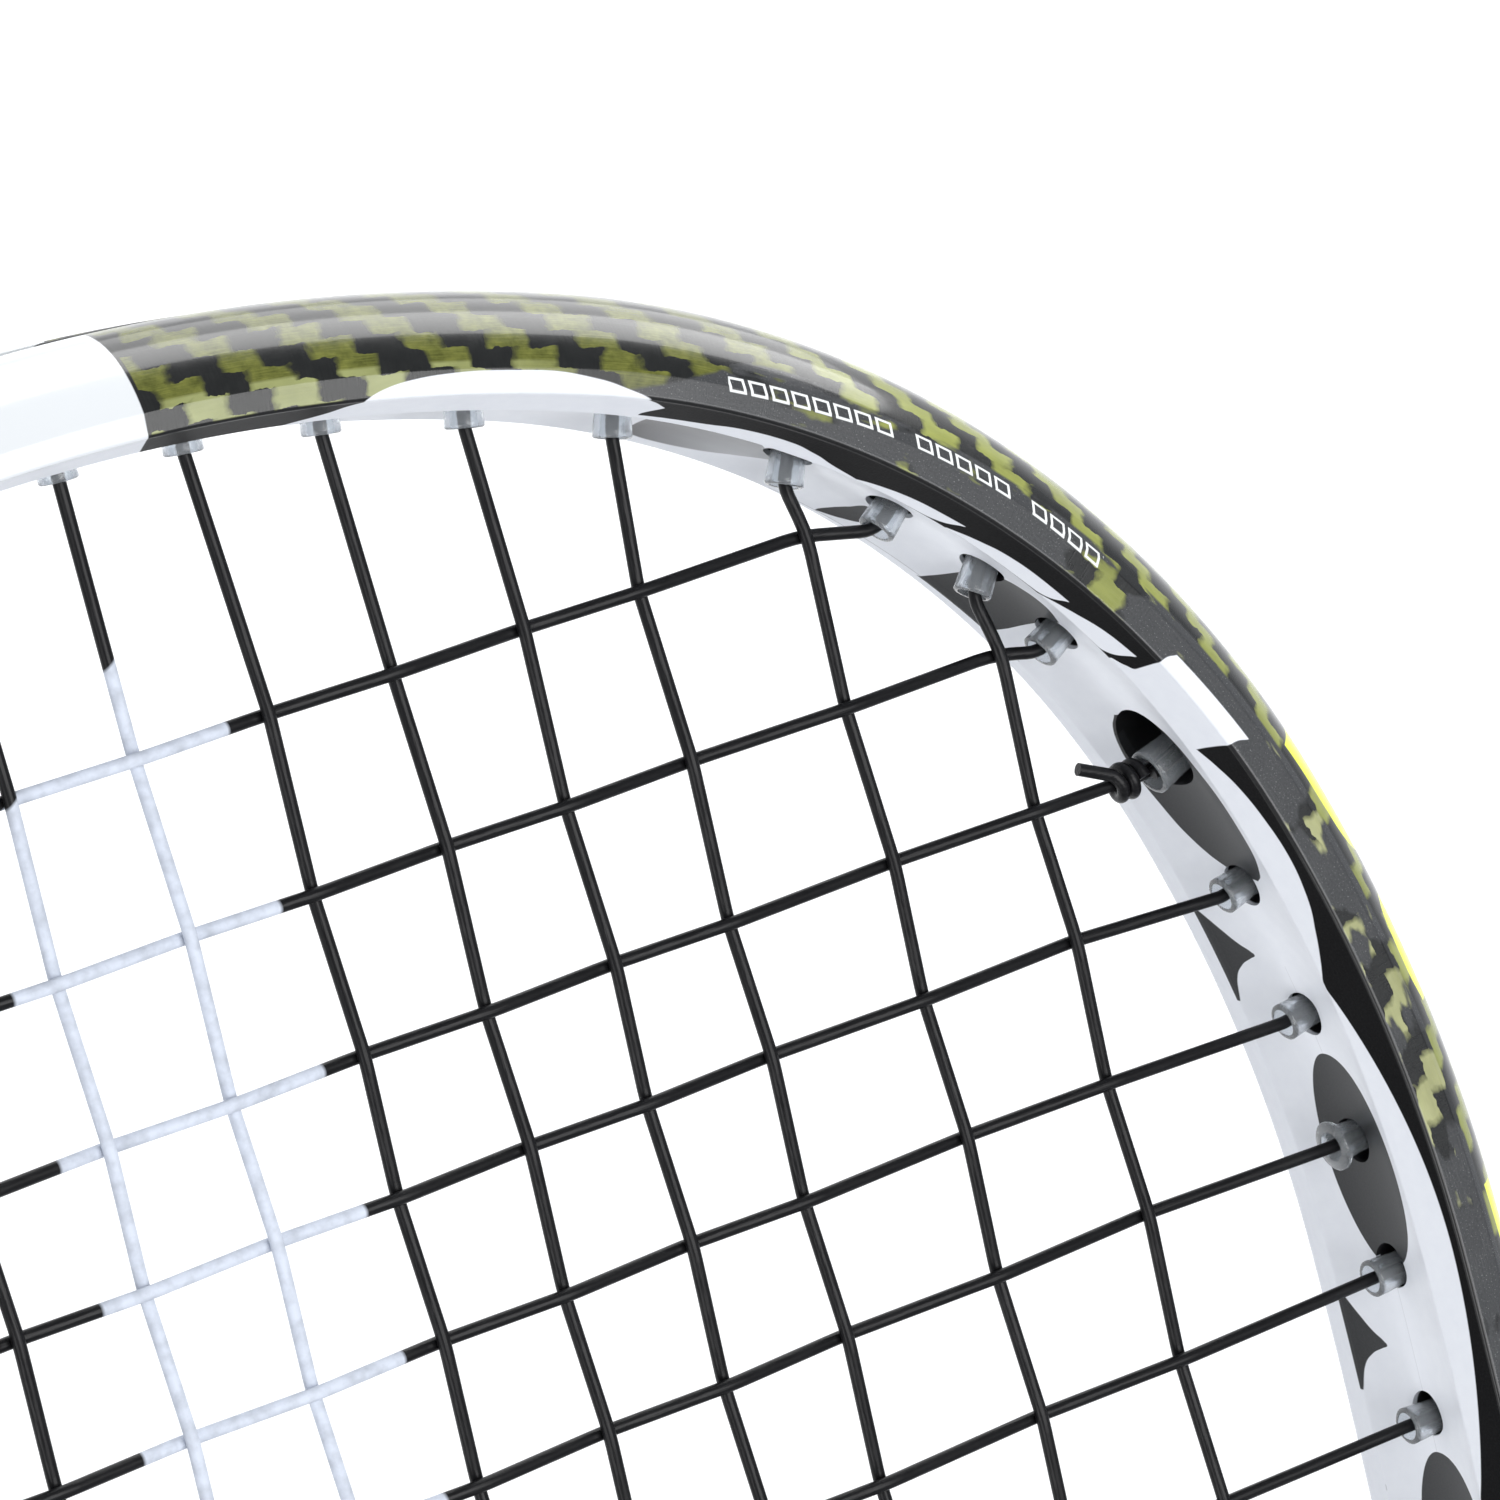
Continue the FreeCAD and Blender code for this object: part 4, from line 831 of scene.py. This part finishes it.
def lacquer_material(name, specular, coat, gloss_rough):
    """The hoop's whole paint job; its parts differ only in their finish."""
    m = Tree(name)
    s, t, n = m.attr("s_mm"), m.attr("t_mm"), m.attr("n_mm")
    a = m.math("ABSOLUTE", t)
    grain = m.noise(m.vec(s, t), 5.0, 3.0, 0.7)
    dirt = m.noise(m.vec(s, t), 0.8, 4.0)
    colour, fibre = bare_carbon(m, s, t, a, grain)
    bevel = m.times(m.step(MATT_FROM, a, 0.1), m.below(MATT_TO, a, 0.12))
    colour = m.mix(bevel, colour, m.mix(m.math("POWER", grain, 3.0), *BEVEL_BLACKS))

    inward = m.math("MAXIMUM", m.math("SUBTRACT", TIP_BAND_T, a), 0.0)
    edge = m.scaled(inward, TIP_BAND_SLOPE, TIP_BAND_S)
    tip = m.below(edge, s, 0.1)
    outline = m.times(m.step(edge, s, 0.1), m.below(m.math("ADD", edge, TIP_OUTLINE), s, 0.1))
    colour = m.mix(m.times(outline, m.step(WALL_Z, a)), colour, OUTLINE_BLACK)
    white = m.either(white_parts(m, s, t, a), tip)
    # Painted shade: the tip band's front and outer faces are painted a darker white.
    paint = m.mix(m.times(tip, m.step(T_BEVEL, a, 2.0)), m.mix(dirt, WHITE, DIRTY_WHITE), TIP_WHITE_PAINTED_SHADE)
    colour = m.mix(white, colour, paint)

    greys = grey_parts(m, s, t)
    colour = m.mix(greys, colour, m.mix(grain, *SATIN_GREYS))
    # Painted light and shade on the silver mark: lighter towards the rear edge, darker towards the front,
    # and darker still before SHADE_END_S.
    painted_lit_and_shaded_silver = m.mix(m.step(SHADE_END_S, s, 9.0), SILVER_SHADE, m.mix(m.step(SILVER_MID_T, t, 5.0), *SILVER_LIT_AND_SHADED))
    colour = m.mix(m.band(s, t, SATIN_LOW, SATIN_TOP, 0.15), colour, painted_lit_and_shaded_silver)
    colour = m.mix(row_of_frames(m, s, a), colour, MOTIF_WHITE)
    marks = [m.band(s, a, low, ALL_ROUND) for low in (YELLOW_ONE, YELLOW_TWO, YELLOW_THREE)]
    yellow = m.either(*marks)
    colour = m.mix(yellow, colour, YELLOW)

    inside = m.times(m.step(INSIDE_N[0], n, 0.15), m.below(WALL_Z - 0.6, a), m.below(INSIDE_N[1], n))
    mouth = m.times(m.band(s, t, HOLE_LEAF_LOW, HOLE_LEAF_TOP), m.below(MOUTH_END, s))
    colour = m.mix(m.either(inside, mouth), colour, INSIDE_BLACK)

    not_white = m.less(1.0, white)
    rough = m.mixf(m.either(greys, inside, m.times(bevel, not_white)),
                   m.math("ADD", gloss_rough, m.scaled(dirt, 0.12)), 0.5)
    m.set(Base_Color=colour, Roughness=rough, Specular_IOR_Level=specular)
    m.bsdf.inputs["Coat Weight"].default_value = coat
    m.bsdf.inputs["Coat Roughness"].default_value = 0.08
    relief = m.math("ADD", m.times(fibre, not_white), m.times(grain, m.scaled(bevel, 0.9)))
    m.bump(relief, 0.12, 0.00012)
    return m.mat


def by_region(obj):
    """Gives the wall and the matt inner bevel their own finish, face by face."""
    mesh = obj.data
    t = np.empty(len(mesh.vertices), np.float32)
    n = np.empty(len(mesh.vertices), np.float32)
    mesh.attributes["t_mm"].data.foreach_get("value", t)
    mesh.attributes["n_mm"].data.foreach_get("value", n)
    for p in mesh.polygons:
        ids = list(p.vertices)
        level = float(np.abs(t[ids]).mean())
        depth = float(n[ids].mean())
        if depth < MID_DEPTH and level < WALL_Z:
            p.material_index = 1
        elif level < T_BEVEL - 0.1 and level >= WALL_Z and depth < 2.2:
            p.material_index = 2


for finish in (("hoop_gloss", 0.22, 0.42, 0.16), ("hoop_wall", 0.25, 0.1, 0.3),
               ("hoop_bevel", 0.06, 0.0, 0.45)):
    hoop.data.materials.append(lacquer_material(*finish))
by_region(hoop)
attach(hoop, "root")
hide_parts("head_frame")


# ---- grommet strips and barrels ----
def lathe(profile, origin, axis, count=28):
    """A closed profile of (radius, height) turned about an axis."""
    axis = axis / np.linalg.norm(axis)
    side = np.cross(axis, (0, 0, 1.0))
    side /= np.linalg.norm(side)
    up = np.cross(axis, side)
    verts = []
    for k in range(count):
        a = 2 * pi * k / count
        for r, h in profile:
            verts.append(origin + axis * h + (side * cos(a) + up * sin(a)) * r)
    per = len(profile)
    faces = []
    for i in range(count):
        for j in range(per):
            k, up_one = (i + 1) % count, (j + 1) % per
            faces.append((i * per + j, k * per + j, k * per + up_one, i * per + up_one))
    return np.array(verts) * MM, faces


def barrel(hole, floor_n):
    """A clear tube with a lightly flared, rounded rim at its mouth."""
    r = TIE_BARREL_R if hole.tie else BARREL_R
    bore = r - BARREL_WALL
    rim = (r + 0.14) * hole.flare
    deep = (floor_n - MOUTH_N) / hole.rise
    profile = [(bore + 0.2 * hole.flare, 0.0), (rim - 0.14, 0.0), (rim, 0.12), (rim, 0.4),
               (r + 0.1, 1.1), (r, 2.3), (r, deep), (bore, deep), (bore, 0.8)]
    origin = hole.mouth + np.array([0, 0, TIE_SHIFT * hole.tie])
    return lathe(profile, origin, hole.dir)


def strip_piece(name, line, spans, holes, half, rise):
    """A channel strip with a barrel for each of its holes."""
    under, floor, top = (n + rise for n in STRIP_N)
    lip = STRIP_LIP_HALF * half / STRIP_HALF
    pts = [(under, half), (top, half), (top, lip), (floor, lip)]
    pts += [(n, -z) for n, z in reversed(pts)]
    section = rounded(pts, STRIP_RADII, 2)
    pieces = [swept(line, np.arange(low, high, STRIP_STEP), lambda s: section) for low, high in spans]
    pieces += [barrel(hole, BARREL_ROOT_N + rise) for hole in holes]
    obj = mesh_object(name, *merged(pieces))
    face_outward(obj)
    obj.data.set_sharp_from_angle(angle=radians(50))
    return obj


def clear_plastic():
    m = Tree("clear_barrels")
    p = m.place()
    haze = m.noise(p, 1.3, 3.0)
    fine = m.noise(p, 7.0, 2.0)
    m.set(Base_Color=m.mix(haze, (0.8, 0.85, 0.9), (0.95, 0.97, 0.98)),
          Roughness=m.scaled(haze, 0.12, 0.03))
    m.bsdf.inputs["Transmission Weight"].default_value = 0.9
    m.bsdf.inputs["IOR"].default_value = 1.42
    m.bump(fine, 0.25, 0.00006)
    return m.mat


CLEAR = clear_plastic()
SPLIT_S = (row_s(1) + row_s(2)) / 2          # the tip strip ends between these two cross rows
ON_HEAD = [h for h in HOLES if not h.in_bridge]
STRIPS = {
    "tip_bumper_strip": (LEG_LINE, [(-SPLIT_S + 1, SPLIT_S - 1)],
                         [h for h in ON_HEAD if abs(h.s) < SPLIT_S], STRIP_HALF, 0),
    "right_grommet_strip": (LEG_LINE, [(SPLIT_S, LEG_S + STRIP_TAIL)],
                            [h for h in ON_HEAD if h.s > SPLIT_S], STRIP_HALF, 0),
    "left_grommet_strip": (LEG_LINE, [(-LEG_S - STRIP_TAIL, -SPLIT_S)],
                           [h for h in ON_HEAD if h.s < -SPLIT_S], STRIP_HALF, 0),
    "throat_grommet_strip": (HEAD_LINE, [(HALF - BRIDGE_STRIP_REACH, HALF),
                                         (-HALF, -HALF + BRIDGE_STRIP_REACH)],
                             [h for h in HOLES if h.in_bridge], BRIDGE_STRIP_HALF,
                             BRIDGE_STRIP_RISE),
}
for node, shape in STRIPS.items():
    piece = strip_piece("looks_" + node, *shape)
    piece.data.materials.append(CLEAR)
    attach(piece, "root")
    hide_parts(node)


# ---- strings ----
GUT_BLACKS = (0.002, 0.002, 0.0025), (0.012, 0.012, 0.013)
STENCIL_WHITE = (0.56, 0.6, 0.68)
STENCIL_X, STENCIL_TOP, STENCIL_SLOPE, STENCIL_FOOT = (-9.3, 12.9), 657.2, 0.68, 560.0


def string_material(name, along):
    """Black gut with fine ridges along the string and a worn white stencil stripe."""
    m = Tree(name)
    p = m.place()
    x, y, z = m.xyz(p)
    run, cross = (y, x) if along == "y" else (x, y)
    ridges = m.noise(m.vec(m.scaled(run, 0.12), m.scaled(cross, 5.0), m.scaled(z, 5.0)), 1.0, 2.0)
    scuff = m.noise(p, 0.9, 4.0)
    top = m.scaled(x, STENCIL_SLOPE, STENCIL_TOP)
    stencil = m.times(m.within(*STENCIL_X, x, 0.3), m.within(STENCIL_FOOT, top, y, 0.3))
    worn = m.math("MULTIPLY", m.math("SUBTRACT", scuff, 0.2), 2.5, clamp=True)
    stencil = m.times(stencil, m.mixf(worn, 0.72, 1.0))
    m.set(Base_Color=m.mix(stencil, m.mix(ridges, *GUT_BLACKS), STENCIL_WHITE),
          Roughness=m.mixf(stencil, m.scaled(scuff, 0.15, 0.24), 0.6),
          Specular_IOR_Level=0.17)
    m.bump(ridges, 0.4, 0.00008)
    return m.mat


def dress(node, material):
    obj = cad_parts[node]
    obj.data.materials.clear()
    obj.data.materials.append(material)


dress("main_string", string_material("main_gut", "y"))
dress("cross_string", string_material("cross_gut", "x"))
knot_mat = string_material("knot_gut", "x")
for node in ("left_main_knot", "right_main_knot", "tip_cross_knot", "throat_cross_knot"):
    dress(node, knot_mat)


# ---- plain procedural looks for the rest ----
def worn_surface(name, dark, light, rough, metal=0.0):
    m = Tree(name)
    p = m.place()
    big, fine = m.noise(p, 0.07, 4.0), m.noise(p, 2.6, 3.0)
    m.set(Base_Color=m.mix(big, dark, light), Roughness=m.scaled(fine, 0.15, rough))
    m.bsdf.inputs["Metallic"].default_value = metal
    m.bump(fine, 0.2, 0.0001)
    return m.mat


def lacquered_weave(name, relief):
    """The hoop's weave on a piece that has no paint of its own."""
    m = Tree(name)
    x, y, z = m.xyz(m.place())
    colour, fibre = weave(m, m.math("ADD", x, z), y)[:2]
    shade = m.noise(m.place(), 0.03, 3.0)
    m.set(Base_Color=m.mix(m.scaled(shade, 0.3, 0.1), colour, INSIDE_BLACK),
          Roughness=m.scaled(shade, 0.1, 0.16))
    m.bsdf.inputs["Coat Weight"].default_value = 0.5
    m.bump(fibre, 0.1, relief)
    return m.mat


def ribbed(name, dark, light, rough, pitch):
    """Rubber or tape with fine ribs round the handle."""
    m = Tree(name)
    p = m.place()
    y = m.xyz(p)[1]
    rib = m.math("SINE", m.scaled(y, 2 * pi / pitch))
    wear, fine = m.noise(p, 0.08, 4.0), m.noise(p, 3.0, 3.0)
    m.set(Base_Color=m.mix(wear, dark, light), Roughness=m.scaled(fine, 0.15, rough))
    m.bump(m.math("ADD", rib, m.scaled(fine, 0.5)), 0.4, 0.0001)
    return m.mat


GRIP_Y, GRIP_HALF, GRIP_CORNER = (17.2, 202.0), (15.7, 14.0), 5.6
GRIP_SWELL_Y, GRIP_SWELL = (24, 32), 1.2     # thicker over the butt cap's end
GRIP_PITCH, GRIP_RIDGE, GRIP_RIDGE_FROM = 24.0, 0.8, 0.55
GRIP_STEP, GRIP_WALL, GRIP_INNER = 0.9, 0.25, 0.93
PUNCH_PITCH, PUNCHES_ROUND, PUNCH_R = 2.6, 30, 0.16
# The seam's black is painted shade.
GRIP_BLACKS, SEAM_PAINTED_SHADE = ((0.012, 0.012, 0.013), (0.035, 0.035, 0.037)), (0.002, 0.002, 0.002)
# The rubbed edge is wear with a painted highlight.
RUBBED_EDGE_AND_HIGHLIGHT, PUNCH_BLACK = (0.12, 0.12, 0.125), (0.003, 0.003, 0.003)


def grip_material():
    """Perforated synthetic leather, rubbed paler along the edge of each turn and painted lighter there as a
    highlight, with painted shade along the seam.
    """
    m = Tree("grip_leather")
    p = m.place()
    x, y, z = m.xyz(p)
    turn = m.math("ARCTAN2", x, z)
    along = m.math("ADD", y, m.scaled(turn, GRIP_PITCH / (2 * pi)))
    u = m.math("SUBTRACT", m.math("FRACT", m.math("DIVIDE", along, PUNCH_PITCH)), 0.5)
    v = m.math("SUBTRACT", m.math("FRACT", m.scaled(turn, PUNCHES_ROUND / (2 * pi))), 0.5)
    reach = m.math("SQRT", m.math("ADD", m.times(u, u), m.times(v, v)))
    punched = m.below(PUNCH_R, reach, 0.06)
    wear, pebble = m.noise(p, 0.03, 4.0), m.voronoi(p, 2.2)
    phase = m.math("FRACT", m.math("DIVIDE", along, GRIP_PITCH))
    # The edge of each turn is worn paler and also carries a painted highlight.
    skin = m.mix(m.times(m.step(0.9, phase, 0.1), m.math("ADD", 0.2, wear)),
                 m.mix(wear, *GRIP_BLACKS), RUBBED_EDGE_AND_HIGHLIGHT)
    # Painted shade: a dark line along the seam at the foot of each turn's edge.
    skin = m.mix(m.below(0.03, phase, 0.04), skin, SEAM_PAINTED_SHADE)
    m.set(Base_Color=m.mix(punched, skin, PUNCH_BLACK), Roughness=m.scaled(wear, 0.25, 0.5),
          Specular_IOR_Level=0.35)
    m.bump(m.math("SUBTRACT", m.scaled(pebble, 0.35), punched), 0.5, 0.00015)
    return m.mat


def grip_ring(y):
    """The octagonal handle's outline at a height, with the wrap's overlap standing up."""
    swell = GRIP_SWELL * float(np.interp(y, GRIP_SWELL_Y, (1, 0)))
    w, d = GRIP_HALF[0] + swell, GRIP_HALF[1] + swell
    c = GRIP_CORNER
    ring = [(w, d - c), (w - c, d), (c - w, d), (-w, d - c), (-w, c - d), (c - w, -d),
            (w - c, -d), (w, c - d)]
    out = []
    for x, z in rounded(ring, [2.2] * 8, 5, 0.6):
        phase = (y / GRIP_PITCH + np.arctan2(x, z) / (2 * pi)) % 1.0
        rise = max(0.0, (phase - GRIP_RIDGE_FROM) / (1 - GRIP_RIDGE_FROM)) ** 1.5
        lift = GRIP_RIDGE * min(1.0, (1 - phase) * 14) * rise
        k = 1 + (lift - GRIP_WALL) / hypot(x, z)
        out.append((x * k, y, z * k))
    return out


def wrapped_grip():
    """A sleeve with the turns of the wrap, closed at both ends round the handle."""
    ys = np.arange(GRIP_Y[0], GRIP_Y[1], GRIP_STEP).tolist() + [GRIP_Y[1]]
    rings = [grip_ring(y) for y in ys]
    per = len(rings[0])
    faces = tube_faces(len(rings), per, capped=False)
    ends = [[(x * GRIP_INNER, y, z * GRIP_INNER) for x, y, z in ring] for ring in
            (rings[0], rings[-1])]
    base, last = len(rings) * per, (len(rings) - 1) * per
    for j in range(per):
        k = (j + 1) % per
        faces.append((j, k, base + k, base + j))
        faces.append((last + j, base + per + j, base + per + k, last + k))
        faces.append((base + j, base + k, base + per + k, base + per + j))
    obj = mesh_object("wrapped_grip", np.array(rings + ends).reshape(-1, 3) * MM, faces)
    face_outward(obj)
    obj.data.set_sharp_from_angle(angle=radians(60))
    return obj


grip = wrapped_grip()
grip.data.materials.append(grip_material())
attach(grip, "root")
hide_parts("grip_base")

BLACKS = ((0.012, 0.012, 0.013), (0.032, 0.032, 0.034))
STEELS = ((0.45, 0.45, 0.46), (0.62, 0.62, 0.63))
FOAM_BUFFS = ((0.6, 0.5, 0.3), (0.7, 0.6, 0.4))
FOAM_BLACKS = ((0.03, 0.03, 0.03), (0.07, 0.07, 0.07))
BADGE_GREENS = ((0.45, 0.55, 0.02), (0.6, 0.7, 0.05))
REST = {
    "left_hairpin_plug": worn_surface("left_plug_foam", *FOAM_BUFFS, 0.8),
    "right_hairpin_plug": worn_surface("right_plug_foam", *FOAM_BUFFS, 0.8),
    "front_pallet": worn_surface("front_pallet_foam", *FOAM_BLACKS, 0.7),
    "back_pallet": worn_surface("back_pallet_foam", *FOAM_BLACKS, 0.7),
    "butt_cap": worn_surface("cap_plastic", *BLACKS, 0.38),
    "butt_badge": worn_surface("badge_plastic", *BADGE_GREENS, 0.18),
    "front_cap_staple": worn_surface("front_staple_steel", *STEELS, 0.25, 1.0),
    "back_cap_staple": worn_surface("back_staple_steel", *STEELS, 0.25, 1.0),
    "finishing_tape": ribbed("tape_vinyl", *BLACKS, 0.32, 3.0),
    "grip_collar": ribbed("collar_rubber", *BLACKS, 0.6, 2.2),
    "throat_bridge": lacquered_weave("bridge_lacquer", 0.0001),
    "shaft_wrap": lacquered_weave("shaft_lacquer", 0.00012),
}
for node, material in REST.items():
    dress(node, material)


# ---- stage, light and camera ----
def stage_material():
    m = Tree("stage_paper")
    p = m.place()
    m.set(Base_Color=m.mix(m.noise(p, 0.01, 3.0), (0.96, 0.96, 0.96), (0.98, 0.98, 0.98)),
          Roughness=0.9)
    return m.mat


bpy.ops.mesh.primitive_plane_add(size=6.0, location=(0, 0.35, -0.42))
floor = bpy.context.active_object
floor.name = "floor"
floor.data.materials.append(stage_material())

world = bpy.data.worlds.new("studio")
bpy.context.scene.world = world
world.use_nodes = True
world.node_tree.nodes["Background"].inputs[0].default_value = (0.9, 0.94, 1.0, 1)
world.node_tree.nodes["Background"].inputs[1].default_value = 0.42


def soft_light(name, place, target, size, watts):
    data = bpy.data.lights.new(name, "AREA")
    data.shape, data.size, data.size_y = "RECTANGLE", size[0], size[1]
    data.energy = watts
    obj = bpy.data.objects.new(name, data)
    bpy.context.scene.collection.objects.link(obj)
    obj.location = place
    obj.rotation_mode = "QUATERNION"
    obj.rotation_quaternion = (Vector(target) - Vector(place)).to_track_quat("-Z", "Y")


soft_light("overhead", (0.17, 0.62, 1.5), (0.17, 0.62, 0), (1.26, 1.3), 27)
soft_light("left_fill", (-1.25, 0.1, 0.42), (0.08, 0.63, 0), (0.8, 0.8), 8)
soft_light("low_panel", (0.34, 1.05, 0.0), (0.03, 0.68, 0.0), (0.5, 0.24), 2.4)
soft_light("floor_glow", (0.34, 1.05, -0.24), (0.03, 0.68, -0.2), (0.5, 0.24), 0.75)

CAM_RIGHT = Vector((0.82983, -0.25774, 0.49493))
CAM_DOWN = Vector((-0.29121, -0.95661, -0.00992))
CAM_FORWARD = Vector((0.47601, -0.1359, -0.86888))
CAM_PLACE = Vector((-0.19255, 0.70993, 0.45114))
SENSOR_MM, LENS_MM = 36.0, 162.96
cam_data = bpy.data.cameras.new("camera")
cam_data.sensor_width, cam_data.lens = SENSOR_MM, LENS_MM
cam_data.dof.use_dof = False
cam_data.clip_start, cam_data.clip_end = 0.01, 20
camera = bpy.data.objects.new("camera", cam_data)
bpy.context.scene.collection.objects.link(camera)
turn = Matrix((CAM_RIGHT, -CAM_DOWN, -CAM_FORWARD)).transposed()
camera.matrix_world = Matrix.LocRotScale(CAM_PLACE, turn.to_quaternion(), None)
bpy.context.scene.camera = camera
bpy.context.scene.view_settings.view_transform = "Standard"
